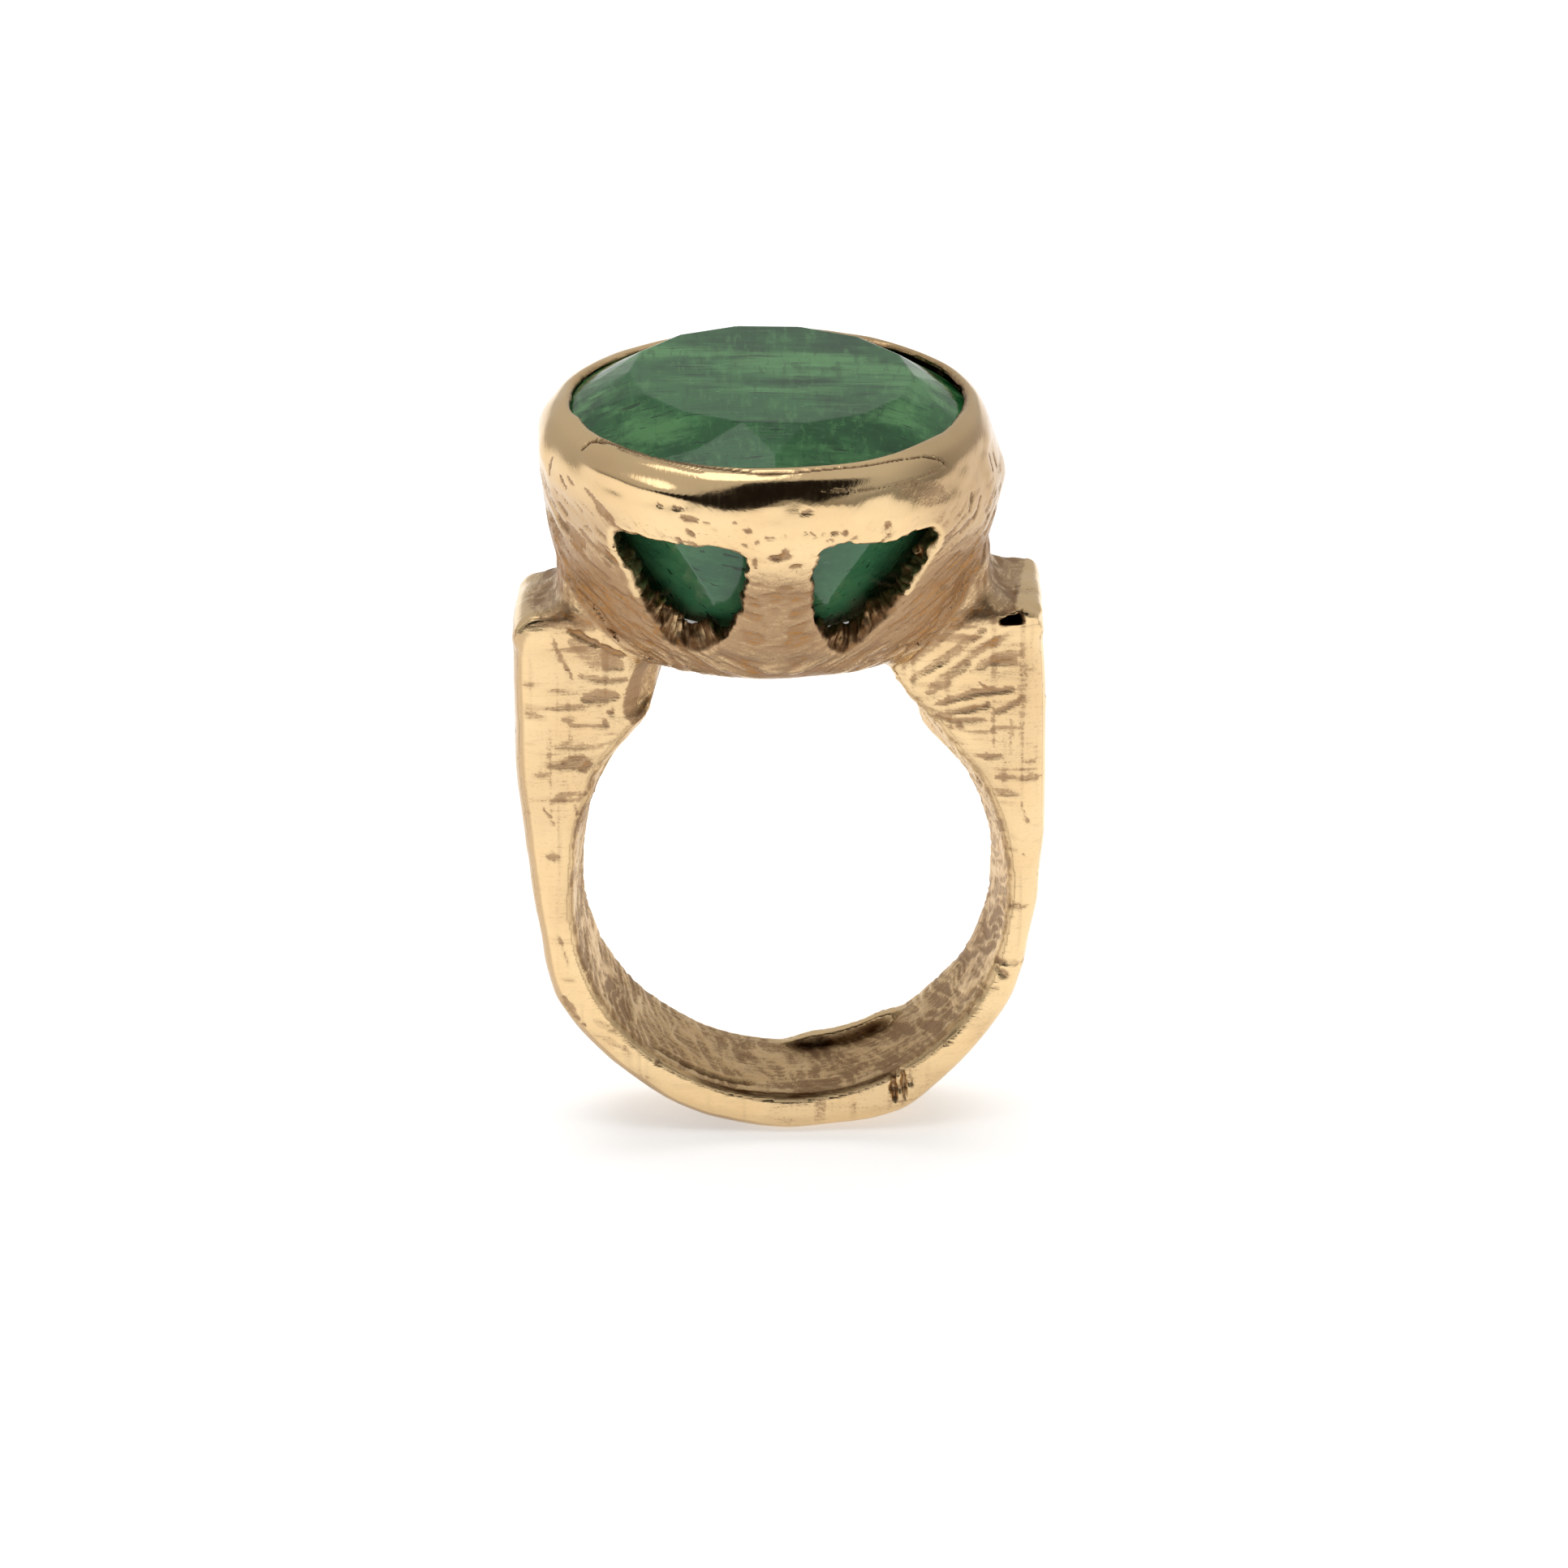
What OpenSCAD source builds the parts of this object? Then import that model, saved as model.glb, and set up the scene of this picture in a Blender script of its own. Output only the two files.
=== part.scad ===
// Cocktail ring: a hollow, hand-built shank carries a pierced oval cup with a bezel-set stone.
// Millimetres. The origin is the centre of the finger hole, the hole runs along Y,
// +Z points to the stone and +X to the right in the front view.

/* [Finger hole] */
// Inside diameter of the finger hole
finger_d = 17.3; // [17.2:0.1:17.4]
// Bevel on the front and back edges of the hole
edge_bevel = 0.4; // [0.2:0.1:0.5]

/* [Shank] */
// Width of the shank from front face to back face
shank_w = 5; // [4.8:0.1:5.2]
// Thickness of the front and back plates
plate_t = 0.9; // [0.8:0.1:1]
// Thickness of the inner band at the bottom of the hole
liner_t = 0.9; // [0.8:0.1:0.9]
// Thickness of the outer strip
strip_t = 1.15; // [1.1:0.05:1.2]
// Outer radius of the lower half of the shank
shank_r = 10.45; // [10.4:0.05:10.5]
// Height of the shoulder tops above the hole centre
shoulder_z = 13.2; // [13.1:0.1:13.3]
// Thickness of the plates that close the shoulder tops
cap_t = 0.9; // [0.8:0.1:1]
// Angle above horizontal at which the inner band ends
liner_end = 49; // [48:1:50]

/* [Cup] */
// Sideways offset of the head from the hole centre
head_x = -0.75; // [-0.8:0.05:-0.7]
// Height of the cup's bottom edge
cup_z = 11.2; // [11.1:0.1:11.3]
// Height of the seam between cup and bezel collar
collar_z = 19.5; // [19.4:0.1:19.6]
// Wall thickness of the cup
cup_wall = 1.25; // [1.2:0.05:1.3]

/* [Stone] */
// Length of the stone across the finger
stone_l = 16.6; // [16.5:0.05:16.6]
// Width of the stone along the finger
stone_w = 14.7; // [14.6:0.05:14.7]
// Height of the table facet
table_z = 22.75; // [22.6:0.05:22.9]
// Height of the keel below the stone
keel_z = 11.4; // [11.3:0.1:11.6]

/* [Hidden] */

finger_r = finger_d / 2;
half_w = shank_w / 2;
inside_w = shank_w - 2 * plate_t;
cut = 0.5;
beyond = 20;
open_top = 2;
cut_w = shank_w + 2 * cut;
oval_n = 64;
round_n = 96;
gold = "goldenrod";

// Left and right edges of the front view of the shank, from the lower corners up to the shoulders.
left_edge = [[-9.3, -5.4], [-10.05, -4], [-10.4, -2.4], [-10.8, 0.6], [-11.1, 3.6], [-11.4, 6.6],
    [-11.45, 10], [-11.35, 12], [-11.05, 12.7], [-10.4, shoulder_z - 0.15]];
right_edge = [[9.8, -3], [10.45, 0.8], [10.6, 2.6], [10.7, 5], [10.65, 8.6], [10.55, 12.6],
    [10.45, shoulder_z + 0.15]];

// Centre of the lower half's outer circle, and the hammered flat that bulges past it.
shank_centre = [-0.05, -0.25];
lower_bulge = [[0, -5], [0, -10.5], [3.5, -10.25], [5.2, -9.5], [7.4, -7.3]];

// The cup's outer surface: [x half-axis, y half-axis, height, sideways shift] of each oval.
cup_outside = [[6.1, 4.3, cup_z, 0], [7.2, 5.1, 12.1, 0], [7.95, 5.7, 13, 0], [8.75, 6.6, 15, 0],
    [9.1, 7.3, 16.5, 0], [9.45, 8.15, 18.7, 0.08], [9.5, 8.45, collar_z, 0.03]];

// The collar's section: up the outside, over the rolled lip, and down the inside.
collar_section = [[9.5, 8.45, collar_z, 0.03], [9.5, 8.55, 20, -0.05], [9.4, 8.5, 20.6, -0.12],
    [9.15, 8.3, 21.2, -0.15], [8.8, 8, 21.7, -0.12], [8.45, 7.6, 22, -0.08],
    [8.15, 7.25, 22.08, 0], [8, 7.05, 21.95, 0], [7.95, 7, 21.6, 0], [8.35, 7.4, 21.4, 0],
    [8.6, 7.65, 21.2, 0], [8.6, 7.65, collar_z, 0]];

// The seat under the girdle: a flat wire that stands on the cup's top edge, inside the collar.
seat_top = 20.7;
seat_section = [[8.6, 7.65, collar_z, 0], [8.6, 7.65, seat_top, 0], [8.35, 7.4, seat_top, 0],
    [7.97, 7.02, collar_z, 0]];

// Outlines of the two windows beside the front post, seen from the front.
left_window = [[-7, 18.9], [-2.6, 18.9], [-2, 18.4], [-1.85, 17.6], [-1.95, 16.4], [-2.2, 15.2],
    [-2.6, 14.2], [-3.2, 13.2], [-3.7, 12.9], [-4.8, 12.9], [-5.4, 13.5], [-5.8, 14.4],
    [-6.2, 15.6], [-6.7, 16.8], [-7.2, 17.6], [-7.25, 18.5]];
right_window = [[5.5, 18.85], [1.5, 18.85], [0.9, 18.4], [0.73, 17.6], [0.8, 16], [1.1, 14.4],
    [1.5, 13.2], [2.1, 12.6], [2.8, 13.1], [3.5, 14], [4.3, 15.1], [4.95, 16.2], [5.6, 17.3],
    [5.9, 17.9], [5.85, 18.6]];

// The hole's front edge is opened upwards: the axis of the opening cone rises towards the front.
flare_front = [0, -half_w, 1.3];
flare_back = [0, 2.2, 0];
flare_front_r = 9.1;
flare_back_r = 8.15;

// Inner faces of the two ramps, from the ends of the inner band up into the cup's foot.
ramp_t = 0.9;
left_ramp_face = [liner_point(180 - liner_end), [-5.75, 8.7], [-5.4, 12]];
right_ramp_face = [liner_point(liner_end), [5, 8.7], [4, 12]];

// The shoulder caps lie a little below the ends of the outer strip.
left_cap_z = shoulder_z - 0.13;
right_cap_z = shoulder_z - 0.3;

// Distance from the head's axis at which the caps end, inside the cup's foot.
cap_reach = 6;

// Sections of the solder fillets that stand on the shoulder caps against the cup.
left_fillet = [[-10.1, left_cap_z], [-9.65, 13.3], [-9.4, 13.8], [-9.3, 14.5], [-7, 14.5],
    [-7, left_cap_z]];
right_fillet = [[9.25, right_cap_z], [8.75, 13.2], [8.4, 13.8], [8.2, 14.6], [8.1, 15.4], [6, 15.4],
    [6, right_cap_z]];
fillet_w = 4.4;

// How far the thicker upper part of the inner band reaches up behind the flared front edge.
liner_rise = 1.4;

// The stone's crown and girdle, and the rings of its pavilion:
// [share of the girdle's half-axes, height, number of corners, first angle].
girdle_z = 21.1;
girdle_t = 0.15;
table_share = 0.65;
crown_share = 0.84;
half_step = 22.5;
pavilion = [[0.9, 18.2, 16, half_step / 2], [0.68, 15, 8, half_step], [0.44, 12.5, 8, 0]];
keel_half = 1;

function liner_point(angle) = finger_r * [cos(angle), sin(angle)];

function oval_points(section) =
    [for (p = section) for (i = [0 : oval_n - 1])
        [head_x + p[3] + p[0] * cos(360 * i / oval_n), p[1] * sin(360 * i / oval_n), p[2]]];

function band_faces(row, next_row) =
    [for (i = [0 : oval_n - 1]) let (j = (i + 1) % oval_n)
        each [[row * oval_n + i, next_row * oval_n + j, row * oval_n + j],
              [row * oval_n + i, next_row * oval_n + i, next_row * oval_n + j]]];

// A closed oval ring whose section changes its half-axes with height.
module oval_ring(section) {
    rows = len(section);
    polyhedron(oval_points(section),
        [for (row = [0 : rows - 1]) each band_faces(row, (row + 1) % rows)], convexity = 6);
}

// A solid oval body with flat ends.
module oval_body(section) {
    rows = len(section);
    bottom = [for (i = [0 : oval_n - 1]) i];
    top = [for (i = [oval_n - 1 : -1 : 0]) (rows - 1) * oval_n + i];
    polyhedron(oval_points(section),
        concat([bottom, top], [for (row = [0 : rows - 2]) each band_faces(row, row + 1)]),
        convexity = 4);
}

// A solid of the given depth along Y from a front-view outline.
module along_y(depth, y_mid = 0) {
    translate([0, y_mid + depth / 2, 0])
        rotate([90, 0, 0])
            linear_extrude(depth)
                children();
}

// A cylinder or cone along Y, from y0 to y1.
module y_cone(y0, y1, r0, r1) {
    translate([0, y0, 0])
        rotate([-90, 0, 0])
            cylinder(h = y1 - y0, r1 = r0, r2 = r1, $fn = round_n);
}

// The space of the finger hole: the straight bore, its bevels and the flared upper front.
module finger_space() {
    y_cone(-half_w - cut, half_w + cut, finger_r, finger_r);
    for (side = [0, 1])
        mirror([0, side, 0])
            y_cone(half_w - edge_bevel, half_w + cut, finger_r, finger_r + edge_bevel + cut);
    flare_space();
}

module flare_space() {
    run = flare_back - flare_front;
    rise = atan2(flare_front[2] - flare_back[2], run[1]);
    reach = norm(run);
    taper = (flare_front_r - flare_back_r) / reach;
    ahead = 3;
    translate(flare_front)
        rotate([-90 - rise, 0, 0])
            translate([0, 0, -ahead])
                cylinder(h = reach + ahead, r1 = flare_front_r + taper * ahead, r2 = flare_back_r,
                    $fn = round_n);
}

// The whole shank with the finger hole still filled: a disc, its raised sides and the lower bulge.
module shank_body(depth, y_mid, inset = 0, extra_top = 0) {
    left = [for (p = left_edge) p + [inset, 0]];
    right = [for (i = [len(right_edge) - 1 : -1 : 0]) right_edge[i] - [inset, 0]];
    top = [left[len(left) - 1] + [0, extra_top], right[0] + [0, extra_top]];
    union() {
        translate([shank_centre[0], 0, shank_centre[1]])
            y_cone(y_mid - depth / 2, y_mid + depth / 2, shank_r - inset, shank_r - inset);
        along_y(depth, y_mid)
            polygon(concat(left, top, right));
        along_y(depth, y_mid)
            polygon([for (p = lower_bulge) p * (1 - inset / shank_r)]);
    }
}

// The opening between the ramps, from the middle of the hole up to the cup's foot.
module ramp_gap() {
    polygon(concat([[0, 0]], right_ramp_face, [left_ramp_face[2], left_ramp_face[1], left_ramp_face[0]]));
}

module cup_envelope() {
    oval_body(concat(cup_outside, [[9.5, 8.45, collar_z + 1, 0]]));
}

module shank_plate(y_mid) {
    difference() {
        shank_body(plate_t, y_mid);
        finger_space();
        along_y(cut_w)
            ramp_gap();
        cup_envelope();
    }
}

module ramp(face, side) {
    outer = [for (p = face) p + [side * ramp_t, 0]];
    difference() {
        along_y(inside_w)
            polygon(concat(face, [outer[2], outer[1], outer[0]]));
        finger_space();
        cup_envelope();
        liner_solid();
    }
}

module liner_solid() {
    liner_r = finger_r + liner_t;
    difference() {
        union() {
            y_cone(-inside_w / 2, inside_w / 2, liner_r, liner_r);
            intersection() {
                translate([0, 0, liner_rise])
                    y_cone(-inside_w / 2, inside_w / 2, liner_r, liner_r);
                shank_body(inside_w, 0, strip_t);
            }
        }
        finger_space();
        along_y(cut_w)
            polygon([[0, 0], 2 * liner_point(liner_end), [0, beyond], 2 * liner_point(180 - liner_end)]);
    }
}

module shoulder_cap(x0, x1, top_z) {
    difference() {
        intersection() {
            translate([x0, -inside_w / 2, top_z - cap_t])
                cube([x1 - x0, inside_w, cap_t]);
            shank_body(inside_w, 0, strip_t, open_top);
        }
        cup_envelope();
    }
}

module head_solder(section) {
    difference() {
        along_y(fillet_w)
            polygon(section);
        cup_envelope();
        for (side = [-1, 1])
            shank_body(plate_t, side * (half_w - plate_t / 2));
    }
}

// Points of one ring of the stone: share of the girdle's half-axes, height, count and first angle.
function stone_ring(share, z, count, start) =
    [for (i = [0 : count - 1]) let (a = start + 360 * i / count)
        [head_x + share * stone_l / 2 * cos(a), share * stone_w / 2 * sin(a), z]];

// The oval mixed-cut stone: table, kite crown, girdle and a deep bellied pavilion with a keel.
module emerald() {
    slope = (table_z - girdle_z - girdle_t) / (1 - table_share);
    crown_z = girdle_z + girdle_t + slope * (1 - crown_share * cos(half_step));
    points = concat(
        stone_ring(table_share, table_z, 8, 0),
        stone_ring(crown_share, crown_z, 8, half_step),
        stone_ring(1, girdle_z + girdle_t, 16, 0),
        stone_ring(1, girdle_z, 16, 0),
        [for (ring = pavilion) each stone_ring(ring[0], ring[1], ring[2], ring[3])],
        [[head_x - keel_half, 0, keel_z], [head_x + keel_half, 0, keel_z]]);
    color("seagreen")
        hull()
            polyhedron(points, [[for (i = [0 : len(points) - 1]) i]]);
}

module bezel_collar() {
    color(gold)
        oval_ring(collar_section);
}

module seat_ring() {
    color(gold)
        oval_ring(seat_section);
}

module pierced_cup() {
    inside = [for (i = [len(cup_outside) - 1 : -1 : 0]) let (p = cup_outside[i])
        [p[0] - cup_wall, p[1] - cup_wall, p[2], p[3]]];
    color(gold)
        difference() {
            oval_ring(concat(cup_outside, inside));
            along_y(beyond)
                polygon(left_window);
            along_y(beyond)
                polygon(right_window);
        }
}

module outer_strip() {
    color(gold)
        difference() {
            shank_body(inside_w, 0);
            shank_body(inside_w + cut, 0, strip_t, open_top);
            y_cone(-half_w, half_w, finger_r + liner_t, finger_r + liner_t);
        }
}

module finger_liner() {
    color("darkgoldenrod")
        liner_solid();
}

module front_plate() {
    color(gold)
        shank_plate(-half_w + plate_t / 2);
}

module back_plate() {
    color(gold)
        shank_plate(half_w - plate_t / 2);
}

module left_shoulder_cap() {
    color(gold)
        shoulder_cap(left_edge[6][0], head_x - cap_reach, left_cap_z);
}

module right_shoulder_cap() {
    color(gold)
        shoulder_cap(head_x + cap_reach, right_edge[5][0], right_cap_z);
}

module left_inner_ramp() {
    color(gold)
        ramp(left_ramp_face, -1);
}

module right_inner_ramp() {
    color(gold)
        ramp(right_ramp_face, 1);
}

module left_head_solder() {
    color("peru")
        head_solder(left_fillet);
}

module right_head_solder() {
    color("peru")
        head_solder(right_fillet);
}

emerald();
bezel_collar();
seat_ring();
pierced_cup();
outer_strip();
finger_liner();
front_plate();
back_plate();
left_shoulder_cap();
right_shoulder_cap();
left_inner_ramp();
right_inner_ramp();
left_head_solder();
right_head_solder();
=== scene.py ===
"""Cocktail ring: the looks of a hand-built gold ring with a bezel-set emerald.

All gold is described by one distance field in millimetres, in the frame's axes: the finger hole
runs along Y, +Z points to the stone and the front face looks along -Y. The field is meshed once
and shared out among the CAD nodes' regions, so every piece is a closed solid and its joints
with the next piece are flush. Tool marks are then cut into the surface.
"""

import math
import bmesh
import bpy
import numpy as np
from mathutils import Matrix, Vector


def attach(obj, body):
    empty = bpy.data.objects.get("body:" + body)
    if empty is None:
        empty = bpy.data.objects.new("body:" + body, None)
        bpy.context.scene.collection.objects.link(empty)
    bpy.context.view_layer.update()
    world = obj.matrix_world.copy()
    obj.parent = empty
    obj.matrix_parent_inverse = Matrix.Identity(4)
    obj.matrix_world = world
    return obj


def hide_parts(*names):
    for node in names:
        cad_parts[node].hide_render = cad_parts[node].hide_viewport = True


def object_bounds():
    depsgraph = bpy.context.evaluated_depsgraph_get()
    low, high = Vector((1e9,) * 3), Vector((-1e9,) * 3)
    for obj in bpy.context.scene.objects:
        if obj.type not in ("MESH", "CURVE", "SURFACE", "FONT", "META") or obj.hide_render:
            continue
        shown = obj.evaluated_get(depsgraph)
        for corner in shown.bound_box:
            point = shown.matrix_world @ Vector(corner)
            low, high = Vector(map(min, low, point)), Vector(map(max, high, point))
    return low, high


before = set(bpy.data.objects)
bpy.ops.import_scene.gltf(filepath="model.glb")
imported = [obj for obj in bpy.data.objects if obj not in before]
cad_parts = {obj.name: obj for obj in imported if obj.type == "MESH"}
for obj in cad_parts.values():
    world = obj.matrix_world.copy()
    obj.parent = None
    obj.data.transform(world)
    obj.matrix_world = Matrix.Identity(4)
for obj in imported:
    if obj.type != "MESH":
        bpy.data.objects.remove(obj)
cad_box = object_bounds()

MM = 0.001
STEP = 0.1
GRID_LOW = np.array([-11.9, -9.1, -11.3])
GRID_HIGH = np.array([11.2, 9.1, 22.6])

# Sizes shared with the CAD model, in millimetres.
FINGER_R = 8.65
HALF_W = 2.5
PLATE_T = 0.9
LINER_T = 0.9
STRIP_T = 1.15
CAP_T = 0.9
SHOULDER_Z = 13.2
HEAD_X = -0.75
CUP_Z = 11.2
COLLAR_Z = 19.5
SEAT_TOP = 20.7
WALL = 1.25
LINER_END = math.radians(49)

# Places that several steps share: the lip's top, where front and back faces begin, the torn ledge's edge.
LIP_Z = 22.3
FACE_Y = 1.9
LEDGE_Y = 1.72
# The small wedge left open behind the front plate's top edge, beside the right end of the strip.
POCKET_X, POCKET_Y, POCKET_Z = 9.13, -2.3, 13.04
# Length of one degree round the head, near its front.
DEGREE_MM = 0.15

PIECES = ["front_plate", "back_plate", "outer_strip", "finger_liner", "left_inner_ramp",
          "right_inner_ramp", "left_shoulder_cap", "right_shoulder_cap", "left_head_solder",
          "right_head_solder", "pierced_cup", "bezel_collar", "seat_ring"]
LABEL = {name: i + 1 for i, name in enumerate(PIECES)}

# Front view of the shank's outer outline, from the left shoulder round the bottom.
OUTER_LINE = [(-6, 13.2), (-8.8, 13.2), (-10.4, 13.2), (-11.05, 12.95), (-11.35, 12.2), (-11.43, 10.5),
              (-11.42, 8.5), (-11.37, 6.6), (-11.12, 3.6), (-10.8, 0.6), (-10.37, -2.4), (-10.03, -4),
              (-9.3, -5.45), (-7.9, -7.15), (-6.2, -8.6), (-5.1, -9.4), (-3.55, -10.15), (-1.9, -10.55),
              (-0.4, -10.68), (1.8, -10.6), (3.7, -10.3), (5.3, -9.6), (6.9, -8.05), (8.2, -6.55),
              (9.2, -5.05), (9.75, -3.6), (10.05, -1.95), (10.33, -0.4), (10.6, 2.6), (10.67, 4.8),
              (10.62, 8.6), (10.5, 12), (10.42, 12.95), (10.15, 13.42), (9.5, 13.4), (8, 13.05),
              (5, 12.95)]

# The hole's outline in the front face and in the back face, with the gap up to the cup.
HOLE_FRONT = [(-9.12, -0.6), (-9.12, 0.7), (-8.97, 2.9), (-8.72, 4.2), (-8.42, 5), (-8.25, 5.9),
              (-7.72, 6.9), (-7.3, 7.5), (-6.6, 8.3), (-5.95, 9), (-5.78, 10), (-5.45, 11), (-5, 12.4),
              (3.6, 12.4), (4.1, 10.65), (4.75, 9.6), (5.6, 8.75), (6.27, 8.1), (6.75, 7.5), (7.19, 6.8),
              (7.8, 6.05), (8.32, 5), (8.77, 3.85), (9.03, 2.6), (9.18, 1), (9.12, -0.6)]
HOLE_BACK_TOP = [(5.7, 6.5), (5, 8.7), (4, 12.4), (-4.95, 12.4), (-5.15, 9.6), (-5.4, 9), (-5.62, 8.1),
                 (-5.78, 7.4)]
# The chamfer struck off the left front edge below the cup.
LEFT_CHAMFER = [(-6.1, 11.6), (-6.55, 10.83), (-6.83, 10.07), (-7, 9.35), (-6.97, 8.85), (-6.6, 8.3),
                (-3, 8.1), (-3, 11.8)]
FRONT_HOLE_R = 9.07

# The oval family of the head: height, x half-axis, x minus y half-axis, sideways shift.
HEAD_OVALS = [(11.2, 6.1, 1.8, 0), (12.1, 7.2, 2.1, 0), (13, 7.95, 2.25, 0), (15, 8.75, 2.15, 0),
              (16.5, 9.12, 1.8, 0.02), (17.8, 9.38, 1.45, 0.08), (18.7, 9.5, 1.25, 0.1),
              (19.5, 9.52, 1.05, -0.02), (20, 9.47, 0.95, -0.12), (20.6, 9.36, 0.9, -0.19),
              (21.2, 9.12, 0.87, -0.17), (21.7, 8.75, 0.85, -0.13), (22, 8.4, 0.88, -0.08),
              (22.3, 8.15, 0.92, 0)]

# Section of cup, seat and collar: x half-axis against height, up the outside and down the inside.
HEAD_SECTION = [(5.6, 11.15), (6.1, 11.25), (6.7, 11.6), (7.2, 12.1), (7.95, 13), (8.4, 14), (8.75, 15),
                (9.12, 16.5), (9.38, 17.8), (9.5, 18.7), (9.52, 19.5), (9.47, 20), (9.36, 20.6),
                (9.14, 21.2), (8.8, 21.68), (8.5, 21.9), (8.25, 21.99), (8.05, 21.98), (7.93, 21.88),
                (7.97, 21.72), (8.25, 21.55), (8.45, 21.25), (8.45, 20.8), (8.2, 20.3), (7.97, 19.6),
                (8.2, 19.1), (8.23, 18.5), (7.87, 16.5), (7.5, 15), (7.1, 14), (6.6, 13), (5.85, 12.1),
                (5.2, 11.5)]

# Windows beside the front post, seen from the front.
LEFT_WINDOW = [(-7.05, 18.85), (-5.5, 18.8), (-4, 18.85), (-2.75, 18.85), (-2.05, 18.45), (-1.84, 17.6),
               (-1.95, 16.4), (-2.2, 15.2), (-2.6, 14.2), (-3.15, 13.3), (-3.8, 12.85), (-4.75, 12.85),
               (-5.3, 13.4), (-5.8, 14.4), (-6.25, 15.6), (-6.7, 16.8), (-7.15, 17.6), (-7.3, 18.4)]
RIGHT_WINDOW = [(5.5, 18.85), (4, 18.7), (2.6, 18.8), (1.5, 18.8), (0.92, 18.4), (0.74, 17.6), (0.8, 16),
                (1.1, 14.4), (1.5, 13.2), (2.1, 12.6), (2.8, 13.1), (3.5, 14), (4.3, 15.1), (4.95, 16.2),
                (5.6, 17.3), (5.95, 18), (5.85, 18.6)]

# Solder fillets between the shoulders and the cup, seen from the front.
LEFT_FILLET = [(-10.7, 12.95), (-10.1, 13.15), (-9.65, 13.5), (-9.4, 14), (-9.25, 14.8), (-8, 15.2),
               (-7, 14), (-7, 12.4), (-10.5, 12.4)]
RIGHT_FILLET = [(9.35, 12.85), (8.85, 13.2), (8.45, 13.8), (8.2, 14.6), (8, 15.5), (6.6, 15.3), (6, 14),
                (6, 12.4), (9.3, 12.4)]


# ---------------------------------------------------------------- numbers and noise

def smooth_line(points, parts=6, closed=True):
    """A Catmull-Rom line through the points."""
    p = np.array(points, float)
    n = len(p)
    out = []
    for i in range(n if closed else n - 1):
        if closed:
            a, b, c, d = p[i - 1], p[i], p[(i + 1) % n], p[(i + 2) % n]
        else:
            a, b, c, d = p[max(i - 1, 0)], p[i], p[i + 1], p[min(i + 2, n - 1)]
        for k in range(parts):
            t = k / parts
            out.append(0.5 * (2 * b + (c - a) * t + (2 * a - 5 * b + 4 * c - d) * t ** 2
                              + (3 * b - a - 3 * c + d) * t ** 3))
    if not closed:
        out.append(p[-1])
    return np.array(out)


def outline_distance(points, u, v):
    """Signed distance from (u, v) to a closed outline, negative inside."""
    best = np.full(np.broadcast(u, v).shape, 1e9)
    inside = np.zeros(best.shape, bool)
    for (au, av), (bu, bv) in zip(points, np.roll(points, -1, axis=0)):
        eu, ev = bu - au, bv - av
        t = np.clip(((u - au) * eu + (v - av) * ev) / max(eu * eu + ev * ev, 1e-12), 0, 1)
        best = np.minimum(best, (u - au - t * eu) ** 2 + (v - av - t * ev) ** 2)
        if av != bv:
            inside ^= ((av > v) != (bv > v)) & (u < eu * (v - av) / ev + au)
    return np.where(inside, -1, 1) * np.sqrt(best)


def smax(a, b, k):
    """The larger of two fields, with the corner between them rounded over about k."""
    h = np.maximum(k - np.abs(a - b), 0) / k
    return np.maximum(a, b) + h * h * k * 0.25


def smin(a, b, k):
    """The smaller of two fields, with the corner between them filled over about k."""
    return -smax(-a, -b, k)


def ramp(x, low, high):
    """0 below low, 1 above high, smooth between."""
    t = np.clip((x - low) / (high - low), 0, 1)
    return t * t * (3 - 2 * t)


def fall(x, low, high):
    """1 below low, 0 above high, smooth between."""
    return 1 - ramp(x, low, high)


def hashed(cell, seed):
    """A repeatable random number from 0 to 1 for each whole-numbered cell."""
    h = (cell[0].astype(np.uint32) * np.uint32(0x8DA6B343)
         ^ cell[1].astype(np.uint32) * np.uint32(0xD8163841)
         ^ cell[2].astype(np.uint32) * np.uint32(0xCB1AB31F)
         ^ np.uint32(seed * 0x9E3779B1 & 0xFFFFFFFF))
    h ^= h >> np.uint32(15)
    h *= np.uint32(0x2C1B3C6D)
    h ^= h >> np.uint32(12)
    h *= np.uint32(0x297A2D39)
    h ^= h >> np.uint32(15)
    return h.astype(np.float32) / np.float32(4294967296)


def noise(p, scale, seed):
    """Smooth noise from -1 to 1. scale is cells per millimetre, one number or one per axis."""
    q = [p[:, i] * s for i, s in enumerate(np.broadcast_to(scale, 3))]
    cell = [np.floor(c) for c in q]
    f = [c - b for c, b in zip(q, cell)]
    f = [t * t * t * (t * (t * 6 - 15) + 10) for t in f]
    cell = [c.astype(np.int64) for c in cell]
    total = np.zeros(len(p))
    for corner in range(8):
        o = [corner & 1, corner >> 1 & 1, corner >> 2]
        w = 1
        for i in range(3):
            w = w * (f[i] if o[i] else 1 - f[i])
        total += w * (2 * hashed([c + d for c, d in zip(cell, o)], seed) - 1)
    return total


def fractal(p, scale, seed, octaves=3, gain=0.5):
    """Noise with finer and weaker noises added to it."""
    total, size, scale = 0, 1.0, np.broadcast_to(scale, 3) * 1.0
    for i in range(octaves):
        total = total + size * noise(p, scale, seed + i)
        scale, size = scale * 2.03, size * gain
    return total


def two_noises(p, scale, share, fine_scale, seed):
    """Noise with a finer noise on it, which counts for its share."""
    return noise(p, scale, seed) + share * noise(p, fine_scale, seed + 1)


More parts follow.
